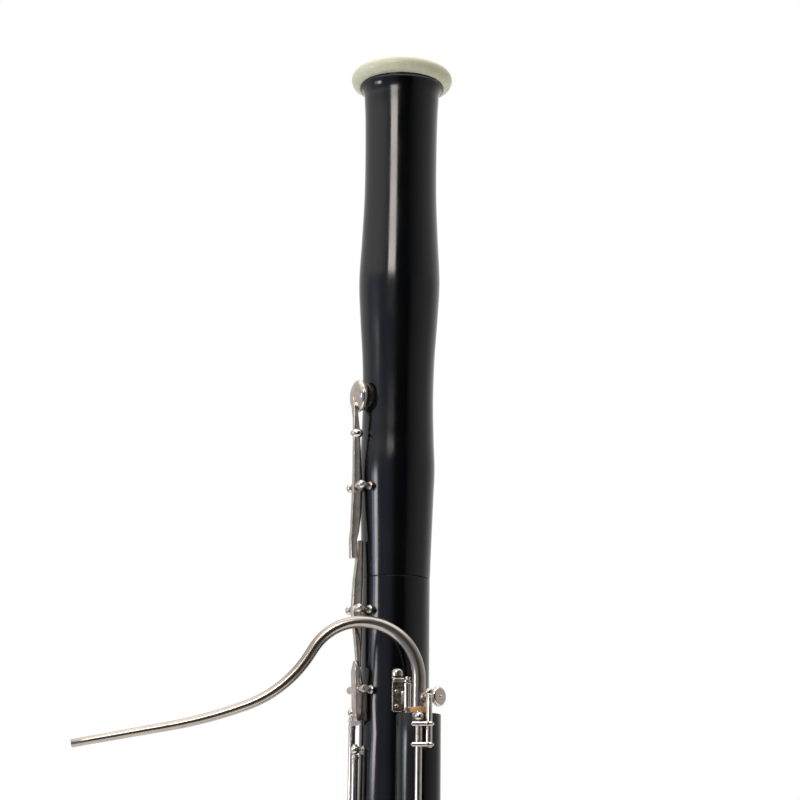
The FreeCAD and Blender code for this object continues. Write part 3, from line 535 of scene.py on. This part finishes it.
def make_bell():
    """The bell's turned outside, its flare under the ring, its bore and the rim of its tone hole."""
    wall = spline([Vector((height, radius)) for radius, height in BELL_OUTSIDE], 8)
    foot = [Vector((SEAM + 0.1, wall[0].y - 0.7)), Vector((SEAM + 0.5, wall[0].y - 0.15))]
    flare = []
    for step in range(1, FLARE_STEPS + 1):
        turn = math.pi / 2 * step / FLARE_STEPS
        flare.append(wall[-1] + Vector((FLARE_LENGTH * math.sin(turn), FLARE_RISE * (1 - math.cos(turn)))))
    lip = [Vector((RING_FOOT, FLANGE)), Vector((RING_FOOT + 1, FLANGE)), Vector((RING_FOOT + 1, BELL_BORE))]
    inside = [Vector((SEAM + SOCKET_LENGTH, SOCKET_STEP)), Vector((SEAM + SOCKET_LENGTH, SOCKET_WALL)),
              Vector((SEAM + 0.2, SOCKET_WALL))]
    bell = Shape(on_axis("long"))
    bell.turned(foot + wall[1:] + flare + lip + inside, segments=192, joined=True)
    seat = Shape(joint_frame("long", 180))
    seat.turned([(20, 9.2), (24.3, 9.2), (BELL_SEAT, 8.9), (BELL_SEAT, 7.4), (24.2, 7.2), (22.5, 7.2)],
                (0, 0, BELL_HOLE), (1, 0, 0), 48)
    seat.make("bell_tone_hole_rim", "root", "black_body")
    bell.make("bell_shell", "root", "black_body", "bell")


def make_ring():
    """The pale ring: a full round outside and a throat that runs down into the bore."""
    half = (RING_TOP - RING_FOOT) / 2
    middle = (RING_FOOT + RING_TOP) / 2
    outline = []
    for step in range(25):
        turn = -math.pi / 2 + math.pi * step / 24
        outline.append((middle + half * math.sin(turn), RING_REACH - half + half * math.cos(turn)))
    for step in range(13):
        turn = math.pi / 2 * step / 12
        outline.append((RING_TOP - THROAT_ROUND * (1 - math.cos(turn)),
                        RING_MOUTH - (RING_MOUTH - RING_THROAT) * math.sin(turn)))
    outline.append((RING_FOOT, RING_THROAT))
    ring = Shape(on_axis("long"))
    ring.turned(outline, segments=192, joined=True)
    ring.make("bell_ring_ivory", "root", "ivory_ring", "bell_ring")


# ------------------------------------------------------------------ wing joint

WING_LOW, WING_HIGH = 14.8, 14.25
LOBE_LOW, LOBE_HIGH, LOBE_SLOPE, LOBE_REACH, LOBE_ROUND = 560, 775, 40, 33, 8.6
FLUTE_GAP = 0.4
LONG_LOW, LONG_HIGH = 23.8, 22.4
FINGER_HOLES = (697, 655, 613)
HOLE_RADIUS, HOLE_DEPTH = 3.0, 13
SOCKET_RADIUS, SOCKET_DEPTH = 5.55, 17
WING_COLUMNS, CROWDING = 168, 1.35
SLOPE_RINGS, SLOPE_STEP = 18, 2.5
WING_VENT = 806


def wing_reach(angle, height):
    """How far the wing joint's outside stands from its axis, at an angle from +X."""
    radius = WING_LOW + (WING_HIGH - WING_LOW) * (height - BOOT_TOP) / (WING_TOP - BOOT_TOP)
    part = min((height - LOBE_LOW) / LOBE_SLOPE, (LOBE_HIGH - height) / LOBE_SLOPE, 1)
    part = max(part, 0)
    part = part * part * (3 - 2 * part)
    away = (LOBE_REACH - LOBE_ROUND) * part
    reach = radius
    bearing = abs(angle)
    if away > radius - LOBE_ROUND:
        flank = math.acos((radius - LOBE_ROUND) / away)
        edge = math.atan2(LOBE_ROUND * math.sin(flank), away + LOBE_ROUND * math.cos(flank))
        if bearing < edge:
            reach = away * math.cos(bearing) + math.sqrt(LOBE_ROUND ** 2 - (away * math.sin(bearing)) ** 2)
        elif bearing < flank:
            reach = radius / math.cos(bearing - flank)
    share = (height - BOOT_TOP) / (SEAM - BOOT_TOP)
    flute = LONG_LOW + (LONG_HIGH - LONG_LOW) * share + FLUTE_GAP
    gap = (LONG_AXIS.y - WING_AXIS.y) / MM
    beside = gap * math.sin(angle)
    inside = beside ** 2 - (gap ** 2 - flute ** 2)
    if beside > 0 and inside > 0:
        reach = min(reach, beside - math.sqrt(inside))
    return reach


def drilled(made, holes):
    """Cuts each hole's cylinder out of a piece and keeps the result as the piece's own mesh."""
    for hole in holes:
        tool = Shape(on_axis("wing"))
        tool.turned(*hole, segments=40)
        mesh = bpy.data.meshes.new("drill")
        mesh.from_pydata([tuple(vert) for vert in tool.verts], [], tool.faces)
        cutter = bpy.data.objects.new("drill", mesh)
        bpy.context.scene.collection.objects.link(cutter)
        carve = made.modifiers.new("drill", "BOOLEAN")
        carve.object, carve.solver = cutter, "EXACT"
        bpy.context.view_layer.update()
        done = bpy.data.meshes.new_from_object(made.evaluated_get(bpy.context.evaluated_depsgraph_get()))
        made.modifiers.clear()
        made.data = done
        bpy.data.objects.remove(cutter)
    for face in made.data.polygons:
        face.use_smooth = True
    made.data.set_sharp_from_angle(angle=SHARP)


def make_wing():
    """The wing joint as one loft: round at both ends, with the wing's lobe, its bed and its socket."""
    shares = [2 * step / WING_COLUMNS - 1 for step in range(WING_COLUMNS)]
    angles = [math.copysign(abs(share) ** CROWDING, share) * math.pi for share in shares]
    heights = [BOOT_TOP + 0.2, 500, 548]
    heights += [LOBE_LOW + step * SLOPE_STEP for step in range(SLOPE_RINGS)]
    heights += [610 + step * 10 for step in range(13)]
    heights += [LOBE_HIGH - LOBE_SLOPE + step * SLOPE_STEP for step in range(SLOPE_RINGS)]
    heights += [790, 830, 870, WING_TOP - 0.6]
    rings = []

    def ring(height, inset=0.0, fixed=None):
        rings.append([Vector((math.cos(a), math.sin(a), 0)) * (fixed or wing_reach(a, height) - inset)
                      + Vector((0, 0, height)) for a in angles])

    for height in heights:
        ring(height)
    ring(WING_TOP - 0.2, 0.15)
    ring(WING_TOP, 0.55)
    ring(WING_TOP, fixed=SOCKET_RADIUS)
    ring(WING_TOP - SOCKET_DEPTH, fixed=SOCKET_RADIUS)
    wing = Shape(on_axis("wing"))
    wing.skin(rings)
    made = wing.make("wing_joint_shell", "root", "black_body", "wing_joint")
    start = LOBE_REACH - HOLE_DEPTH
    drilled(made, [([(0, HOLE_RADIUS), (HOLE_DEPTH + 2, HOLE_RADIUS)], (start, 0, height), (1, 0, 0))
                   for height in FINGER_HOLES])
    rim = Shape(joint_frame("wing", 188))
    rim.turned([(10, 4.4), (15.4, 4.4), (15.6, 4.2), (15.6, 2.6), (15.3, 2.4), (14, 2.4)],
               (0, 0, WING_VENT), (1, 0, 0), 32)
    rim.make("wing_tone_hole_rim", "root", "black_body")


# ------------------------------------------------------------------ bocal

BOCAL_BASE, BOCAL_TIP, TIP_SLEEVE = 4.5, 2.6, 12
BOCAL_HEADING, BOCAL_FOOT, BOCAL_SIDES, TIP_RUN = 153.9, 885, 48, 25
# radius of each bend, its sweep in degrees, the straight run before it, and its steps
BOCAL_BENDS = ((36.2, -148.5, 34, 44), (78.4, 37.8, 4.9, 22), (290, 10, 0, 12))
NIB_HEIGHT, NIB_REACH, NIB_TURN = 907.4, 10.5, 32
CORK_TOP = 901.4


def bocal_line():
    """Points along the crook: up, over in one wide turn, down, and easing out to the tip."""
    here, heading = Vector((0, 0, BOCAL_FOOT)), 90.0
    line = [here]

    def aim(angle):
        return Vector((math.cos(math.radians(angle)), 0, math.sin(math.radians(angle))))

    for radius, sweep, run, steps in BOCAL_BENDS:
        here = here + aim(heading) * run
        line.append(here)
        inward = 90 if sweep > 0 else -90
        middle = here + aim(heading + inward) * radius
        for step in range(1, steps + 1):
            here = middle + aim(heading + sweep * step / steps - inward) * radius
            line.append(here)
        heading += sweep
    for run in (TIP_RUN, TIP_RUN, TIP_SLEEVE):
        here = here + aim(heading) * run
        line.append(here)
    return [point for index, point in enumerate(line)
            if index == 0 or (point - line[index - 1]).length > 0.01]


def make_bocal():
    """The tapering crook with its open tip, the whisper nib and the cork sleeve at its foot."""
    line = bocal_line()
    lengths = [0.0]
    for first, second in zip(line, line[1:]):
        lengths.append(lengths[-1] + (second - first).length)
    taper = lengths[-1] - TIP_SLEEVE
    last = len(line) - 1
    rings = []

    def ring(point, along, radius):
        over = along.cross(ACROSS).normalized()
        rings.append([point + (over * math.cos(t) + along.cross(over) * math.sin(t)) * radius
                      for t in (2 * math.pi * step / BOCAL_SIDES for step in range(BOCAL_SIDES))])

    for index, point in enumerate(line):
        along = (line[min(index + 1, last)] - line[max(index - 1, 0)]).normalized()
        radius = BOCAL_BASE + (BOCAL_TIP - BOCAL_BASE) * min(lengths[index] / taper, 1)
        if index == last:
            ring(point - along * 0.3, along, radius)
            ring(point, along, radius - 0.15)
            ring(point, along, radius - 0.5)
            ring(point - along * 8, along, radius - 0.55)
        else:
            ring(point, along, radius)
    tube = Shape(joint_frame("wing", BOCAL_HEADING))
    tube.skin(rings)
    tube.make("bocal_tube", "bocal", "bocal_silver", "bocal")
    nib = Shape(joint_frame("wing", BOCAL_HEADING + 180 - NIB_TURN))
    nib.turned([(3.6, 3.3), (4.9, 3.3), (5.3, 2.9), (5.6, 2.35), (7.0, 2.2), (7.3, 2.7), (8.1, 2.7),
                (8.4, 2.0), (NIB_REACH - 0.3, 1.45), (NIB_REACH, 1.2), (NIB_REACH, 0.6),
                (NIB_REACH - 1.5, 0.5)], (0, 0, NIB_HEIGHT), (1, 0, 0), 36)
    nib.make("bocal_nib_turned", "bocal", "bocal_silver", "bocal_nib")
    cork_sleeve = Shape(on_axis("wing"))
    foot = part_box("bocal_cork")[0].z / MM
    cork_sleeve.turned([(foot + 0.1, 4.4), (foot + 0.1, 5.35), (foot + 2, 5.45), (CORK_TOP - 1.2, 5.45),
                        (CORK_TOP - 0.3, 5.2), (CORK_TOP, 4.7), (CORK_TOP, 4.4)], segments=64)
    cork_sleeve.make("bocal_cork_sleeve", "bocal", "tenon_cork", "bocal_cork")


# ------------------------------------------------------------------ body lock

LOCK_ANGLE, LOCK_LOW, LOCK_HIGH = 262, 898.6, 926.9
BARREL_PLACE, BARREL_RADIUS, PIN_RADIUS = 26.4, 2.6, 1.45
PLATE_MIDDLE, PLATE_WALL, TRIM_WALL = -5.6, 1.9, 1.5
LOCK_SCREWS = (LOCK_LOW + 3.8, LOCK_LOW + 13)


def make_lock():
    """The body lock: an aged plate with its trim and barrel, the sliding pin and the keeper."""
    place = joint_frame("long", LOCK_ANGLE)
    face = LONG_HIGH + 1.0
    plate = Shape(place)
    plate.bar([(face, PLATE_MIDDLE, height)
               for height in (LOCK_LOW, LOCK_LOW + 1.2, LOCK_HIGH - 4, LOCK_HIGH - 2)],
              [5.4, 7.2, 7.2, 6.4], [PLATE_WALL] * 4, ACROSS, 0.5)
    plate.make("lock_plate_aged", "root", "fitting_silver", "lock_plate", look=AGED)
    trim = Shape(place)
    edge = face + 0.35
    trim.bar([(edge, -9.0, LOCK_LOW + 1), (edge, -9.0, LOCK_HIGH - 3)], [0.7] * 2, [TRIM_WALL] * 2,
             ACROSS, 0.3)
    trim.bar([(edge, -8.6, LOCK_LOW + 0.3), (edge, -2.6, LOCK_LOW + 0.3)], [0.7] * 2, [TRIM_WALL] * 2,
             UP, 0.3)
    trim.turned([(-3, 3.6), (-0.2, 3.7), (0.7, 3.4), (1.6, 2.6), (2.1, 1.5), (2.3, 0.3)],
                (face - 0.8, PLATE_MIDDLE, LOCK_HIGH - 2.4), UP, 32)
    trim.turned(barrel(8.4, 1.7, 0.6), (face + 1.4, -9.3, LOCK_HIGH - 8), ACROSS, 28)
    for height in LOCK_SCREWS:
        trim.turned([(0, 1.5), (0.5, 1.35), (0.8, 0.9), (0.9, 0.2)],
                    (face + 0.8, PLATE_MIDDLE - 0.8, height), (1, 0, 0), 24)
    trim.turned([(899.2, 2.3), (899.6, BARREL_RADIUS), (901.4, BARREL_RADIUS), (901.7, 2.35), (914.2, 2.35),
                 (914.5, BARREL_RADIUS), (916.6, BARREL_RADIUS), (917, 2.2)], (BARREL_PLACE, 0, 0), UP, 40)
    trim.bar([(face, -3.5, 908), (BARREL_PLACE - 1.2, -0.4, 908)], [8] * 2, [TRIM_WALL] * 2, UP, 0.4)
    trim.make("lock_barrel_and_trim", "root", "fitting_silver")
    pin = Shape(place)
    pin.turned([(890, 1.2), (890.5, PIN_RADIUS), (917.2, PIN_RADIUS), (917.4, 1.6), (917.7, 2.4),
                (918.6, 2.4), (919.0, 1.7), (919.6, 1.5), (920.2, 2.1), (920.9, 2.0), (921.25, 1.0)],
               (BARREL_PLACE, 0, 0), UP, 32)
    pin.make("lock_pin_turned", "lock_pin", "fitting_silver", "lock_pin")
    keeper = Shape(place)
    keeper.bar([(BARREL_PLACE - 3, 0, WING_TOP + 0.65), (BARREL_PLACE + 3, 0, WING_TOP + 0.65)], [6] * 2,
               [1.3] * 2, ACROSS, 0.35)
    keeper.make("lock_keeper_plate", "root", "fitting_silver", "lock_keeper")


# ------------------------------------------------------------------ keys

BALL, TUBE, STEM, GAP = 3.0, 2.2, 1.5, 3.1
PAD_GAP, CUP_LIP, CUP_WALL, CUP_DOME = 0.08, 1.1, 2.4, 1.3
CUP_ARM, TOUCH_ARM, PUSH_ARM = 6, 5, 4
TOUCH_WIDTH, TOUCH_END, TOUCH_WALL, TOUCH_STEPS = 11, 2.2, 2.0, 14
COLLAR, COLLAR_RISE = 1.4, 0.35
BELL_POST_WALL, BOOT_WALL, POST_SUNK = 24.4, 24, 1.2

# name: joint, angle round it, axle's place out and round, its low and high ends, the opening turn,
# cup (seat, height, radius), touch (height, place, side, length), arm (height, place, side)
RODS = {
    "low_b_flat_rod": ("long", 165, 27.6, 0, 726, 896.6, 0, None, (740, 32, -14, 26), (893, 22.9, 9.3)),
    "low_b_key": ("long", 212, 23.8, -14.3, 748, 872.5, -9, (24.8, 826, 9), (762, 31, -3, 22), None),
    "low_c_key": ("long", 160, 24.8, 13, 640, 716, 9, (25, 698, 9.5), (656, 32, -1, 24), None),
    "low_d_key": ("long", 160, 25, 13, 552, 622, 9, (25.1, 573, 9), (612, 32, -1, 26), None),
    "low_c_sharp_key": ("long", 95, 25, 13, 486, 552, 0, (25.2, 508, 8), (540, 25.5, 25, 16), None),
    "whisper_key": ("wing", 243.9, 18.3, 0, 640, 890.9, -10, None, (656, 23, -13, 34), None),
    "wing_c_sharp_key": ("wing", 188, 15.4, 10.6, 742, 826, 0, (15.6, WING_VENT, 6), (754, 21, 17, 16),
                         None),
    "low_e_key": ("long", 180, 28.6, 16.5, 266, 322, 8, (25.3, 294, 12), None, None),
    "f_sharp_key": ("long", 180, 28.6, 16.5, 196, 248, 0, (25.3, 212, 8), (238, 31, 29, 15), None),
    "g_key": ("wing", 0, 28.6, 14.5, 194, 240, 8, (25.3, 217, 9), None, None),
    "a_flat_key": ("wing", 0, 28.6, 14.5, 128, 178, 0, (25.3, 146, 7.5), (172, 31, 23, 15), None),
    "f_key": ("long", 0, 25.5, 17.5, 96, 184, 8, (25.3, 114, 12.5), (168, 31.5, 3, 22), None),
}
POSTS = {group: Shape() for group in ("bell", "long_joint", "wing_joint", "boot")}


def cup(shape, seat, height, radius):
    """A domed pad cup with a beaded rim, facing inwards along x. Returns where its dome starts."""
    low = seat + PAD_GAP + CUP_LIP
    top = low + CUP_WALL
    outline = [(0.25, radius - 0.8), (0, radius - 0.5), (0, radius), (0.3, radius + 0.2),
               (0.75, radius + 0.2), (1.0, radius - 0.05), (CUP_WALL - 1.0, radius - 0.1),
               (CUP_WALL - 0.45, radius - 0.45), (CUP_WALL - 0.1, radius - 1.2)]
    dome = radius - 1.3
    outline += [(CUP_WALL - 0.05 + CUP_DOME * math.sin(t), dome * math.cos(t))
                for t in (math.radians(8 + 80 * step / 10) for step in range(11))]
    shape.turned(outline, (low, 0, height), (1, 0, 0), 56)
    return top


def post(group, place, x, y, height, wall, flat, aim, block=False):
    """A post with a turned foot and a ball head, or a short round block, that holds a rod's slotted end."""
    shape = POSTS[group]
    shape.place = place
    inward = Vector((-1, 0, 0)) if flat else Vector((-x, -y, 0)).normalized()
    long = (x if flat else math.hypot(x, y)) - wall
    head = Vector((x, y, height))
    if block:
        shape.turned(barrel(2 * BALL, BALL - 0.45, 0.35), head - aim * BALL, aim, 32)
    else:
        shape.ball(head, BALL)
    tall = long + POST_SUNK
    shape.turned([(0, 2.7), (1.4, 2.7), (1.7, 2.4), (2.0, STEM), (tall - 3.4, 1.25), (tall - 2.9, 1.9),
                  (tall - 2.2, 1.9)], head + inward * tall, -inward, 28)
    slot_turn = 0.3 + height % 2
    shape.screw(head + aim * (BALL - 0.12), aim, 1.45, 0.5, slot_turn)


def touch_plate(shape, place, side, height, length):
    """A finger touch: a plate with rounded ends, dished a little along its length."""
    steps = [-1 + 2 * step / TOUCH_STEPS for step in range(TOUCH_STEPS + 1)]
    points = [(place - 0.5 * (1 - s * s), side, height + s * length / 2) for s in steps]
    widths = [max(TOUCH_WIDTH * (1 - abs(s) ** 3.2) ** (1 / 2.6), TOUCH_END) for s in steps]
    shape.bar(points, widths, [TOUCH_WALL] * len(steps), ACROSS, 0.9)


def arm_bar(shape, start, end, width, reach=0.0):
    """A tapered arm from a hinge tube to what it carries."""
    start, end = Vector(start), Vector(end)
    along = (end - start).normalized()
    stops = [start, start.lerp(end, 0.3), start.lerp(end, 0.7), end + along * reach]
    shape.bar(stops, [width * 1.15, width, width * 0.85, width * 0.7], [3.0, 2.5, 2.2, 1.8], UP, 0.6)


def make_rod_key(name, joint, angle, place, side, low, high, turn, seat, touch, arm):
    """One key on a lengthwise rod: its tube, collars, cup, touch and arm, and the two posts it turns in."""
    shape = Shape(opened(joint, angle, (place, side, low), "Z", turn))
    shape.turned(barrel(high - low, TUBE, 0.25), (place, side, low), UP, 32)
    collars = [low + 0.2, high - 2.8]
    if seat:
        top = cup(shape, *seat)
        arm_bar(shape, (place, side, seat[1]), (top + 1.0, 0, seat[1]), CUP_ARM, 1.5)
        collars += [seat[1] - 4.6, seat[1] + 3.2]
    if touch:
        height, out, round_, length = touch
        arm_bar(shape, (place, side, height), (out, round_, height), TOUCH_ARM)
        touch_plate(shape, out, round_, height, length)
        collars += [height - 4.2, height + 2.8]
    if arm:
        arm_bar(shape, (place, side, arm[0]), (arm[1], arm[2], arm[0]), PUSH_ARM)
        collars += [arm[0] - 3.6]
    for height in collars:
        if low <= height <= high - COLLAR:
            shape.turned(barrel(COLLAR, TUBE + COLLAR_RISE, 0.3), (place, side, height), UP, 32)
    if name == "whisper_key":
        whisper_top(shape, place)
    shape.make(name + "_silver", name, "key_silver", name)
    between = over_flat(joint, angle, side)
    still = joint_frame(joint, angle)
    wall = BOOT_WALL if high < BOOT_TOP else WING_HIGH if joint == "wing" else LONG_HIGH
    group = "boot" if high < BOOT_TOP else joint + "_joint"
    for height, aim in ((high + GAP, UP), (low - GAP, -UP)):
        post(group, still, place, side, height, wall, wall == BOOT_WALL and between, aim)


def over_flat(joint, angle, side):
    """Whether a boot key's axle lies over the flat side between the two bores."""
    return side * math.cos(math.radians(angle)) * (1 if joint == "long" else -1) < 0


WHISPER_CLAMPS, SIDE_BAR = (876.7, 889.4), 6.3


def whisper_top(shape, place):
    """Two clamps, a bar beside the hinge with a ball top, and the small cup over the nib."""
    for height in WHISPER_CLAMPS:
        shape.bar([(place, -4.6, height), (place, 9.4, height)], [3.0] * 2, [5.2] * 2, UP, 1.0)
        shape.screw((place + 2.5, 6.2, height), (1, 0, 0), 1.1, 0.5)
    beside = (place - 0.6, SIDE_BAR, 0)
    shape.turned([(874.8, 1.6), (875.2, 2.1), (905.5, 2.1), (906.2, 1.6), (907, 1.5)], beside, UP, 28)
    shape.ball((place - 0.6, SIDE_BAR, 909.2), 2.7)
    aim = Vector((math.sin(math.radians(NIB_TURN)), math.cos(math.radians(NIB_TURN)), 0))
    base = NIB_REACH + PAD_GAP + CUP_LIP
    beyond = aim.cross(UP)
    rim = aim * (base + 1.3) + Vector((0, 0, NIB_HEIGHT))
    shape.bar([(place - 0.6, SIDE_BAR, NIB_HEIGHT + 0.4), rim + beyond * 6.6, rim + beyond * 4.6],
              [3.6, 3.0, 2.0], [2.2, 1.8, 1.4], UP, 0.5)
    shape.ball(aim * (base + 3.1) + Vector((0, 0, NIB_HEIGHT)), 0.9)
    cup_line = [(0, 5.4), (0, 6.1), (0.4, 6.35), (0.9, 6.35), (1.2, 6.0), (1.9, 5.9), (2.4, 5.4)]
    cup_line += [(2.5 + 0.35 * math.sin(t), 5.1 * math.cos(t))
                 for t in (math.radians(10 + 76 * step / 8) for step in range(9))]
    shape.turned(cup_line, aim * base + Vector((0, 0, NIB_HEIGHT)), aim, 48)


def seesaw(line, angle, place, height, half_span, turn=0, block=False):
    """The moving part of a key on a crosswise axle: its tube and its lever. Returns its shape.

    Each row of line is a height on the lever, its distance out there, its width and its wall.
    """
    shape = Shape(opened("long", angle, (place, 0, height), "Y", turn))
    shape.turned(barrel(2 * half_span, TUBE, 0.3), (place, -half_span, height), ACROSS, 32)
    for end in (-half_span + 0.1, half_span - 1.3):
        shape.turned(barrel(1.2, TUBE + 0.4, 0.3), (place, end, height), ACROSS, 32)
    points = [(out, 0, up) for up, out, width, wall in line]
    shape.bar(points, [row[2] for row in line], [row[3] for row in line], ACROSS, 0.5)
    wall = BELL_POST_WALL if height > SEAM else LONG_HIGH
    group = "bell" if height > SEAM else "long_joint"
    for side in (-1, 1):
        post(group, joint_frame("long", angle), place, side * (half_span + GAP), height, wall, False,
             ACROSS * side, block)
    return shape


def make_b_flat_chain():
    """The low B flat linkage: the bell key, and the lever and link that carry its motion down."""
    key = seesaw([(999, 33.6, 4.2, 4.2), (1011.5, 33.3, 4.0, 4.6), (1017, 32.0, 3.4, 5.4),
                  (1030, 30.4, 3.4, 6.6), (1046.9, 29.1, 3.8, 6.4), (1062, 28.9, 3.4, 5.4),
                  (1085, 28.6, 3.4, 4.0), (1094, 28.9, 3.8, 2.9), (1099, 29.4, 5.6, 2.3),
                  (1103, 29.8, 3.4, 1.8), (1107.5, 30.0, 0.9, 1.2)],
                 angle=180, place=29.7, height=1046.9, half_span=5.6, turn=2.8)
    cup(key, BELL_SEAT, BELL_HOLE, BELL_CUP)
    saddle = [(-4.6, 0.4), (-4.2, 1.6), (-3.2, 2.5), (-1.5, 3.0), (0.5, 3.1), (1.8, 2.7), (2.8, 1.9),
              (3.3, 1.1), (3.5, 0.2)]
    key.turned(saddle, (28.2, 1.6, 1082.6), (-1, 0.55, 0), 32)
    key.ball((30.9, -0.2, 1082.9), 1.9)
    key.make("bell_b_flat_key_silver", "bell_b_flat_key", "key_silver", "bell_b_flat_key")
    lever = seesaw([(929, 26.3, 4.0, 2.4), (941, 26.8, 4.0, 3.8), (952, 27.3, 4.0, 5.6),
                    (965.7, 28.5, 4.2, 6.4), (985, 27.7, 4.0, 6.0), (994, 27.2, 4.0, 4.6),
                    (1011, 26.4, 4.0, 3.4)],
                   angle=180, place=29.4, height=965.7, half_span=4.6)
    lever.turned(barrel(4.6, 1.3, 0.4), (26.3, -2.3, 929.4), ACROSS, 24)
    lever.make("low_b_flat_lever_silver", "low_b_flat_lever", "key_silver", "low_b_flat_lever")
    link = seesaw([(893.5, 28.0, 4.8, 3.6), (903, 28.4, 6.0, 5.4), (913.6, 28.2, 6.2, 6.2),
                   (925, 29.8, 6.0, 4.3), (932, 29.9, 2.4, 3.2)],
                  angle=187, place=28.2, height=913.6, half_span=3.6, block=True)
    link.screw((30.0, 0, 896.5), (1, 0, 0), 1.5, 0.7)
    link.make("low_b_flat_link_silver", "low_b_flat_link", "key_silver", "low_b_flat_link")


def make_keys():
    make_b_flat_chain()
    for name, row in RODS.items():
        make_rod_key(name, *row)
    for group, shape in POSTS.items():
        shape.make(group + "_ball_posts", "root", "key_silver", group + "_posts")


# ------------------------------------------------------------------ strap ring and hand rest

STRAP_OUT, STRAP_HEIGHT, STRAP_RADIUS, STRAP_WIRE = 32, 432, 4.5, 1.2
KNURL_SIDES, KNURL_DEPTH = 60, 0.05


def make_fittings():
    """The strap ring on its stud, and the hand rest's thumb screw with its knurled head."""
    ring = Shape()
    ring.hoop((-STRAP_OUT, 0, STRAP_HEIGHT), ACROSS, STRAP_RADIUS, STRAP_WIRE)
    ring.turned([(0, 1.7), (1.2, 1.6), (2.0, 2.3), (3.4, 2.4), (3.8, 2.0)],
                (-STRAP_OUT + 3.4, 0, STRAP_HEIGHT), (1, 0, 0), 32)
    ring.make("strap_ring_wire", "root", "fitting_silver", "strap_ring")
    screw = Shape()
    low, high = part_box("hand_rest_screw")
    middle = ((low + high) / 2) / MM
    knob = (high.x / MM, middle.y, middle.z)
    tip = (low.x - high.x) / MM
    radius = (high.z - low.z) / 2 / MM
    screw.turned([(tip, 1.4), (tip + 0.5, 1.85), (-3.2, 1.85)], knob, (1, 0, 0), 28)
    screw.turned([(-3.2, 2.4), (-3.0, radius - 0.5), (-2.6, radius), (-0.9, radius), (-0.5, radius - 0.5)],
                 knob, (1, 0, 0), KNURL_SIDES, KNURL_DEPTH)
    screw.turned([(-0.6, 3.8), (-0.3, 3.6), (0, 2.2)], knob, (1, 0, 0), 40)
    screw.make("hand_rest_screw_knurled", "hand_rest_screw", "fitting_silver", "hand_rest_screw")


make_bell()
make_ring()
make_wing()
make_bocal()
make_lock()
make_keys()
make_fittings()
for name in SMOOTHED:
    smooth_cad(nodes[name])

bpy.context.scene.view_settings.view_transform = "Standard"
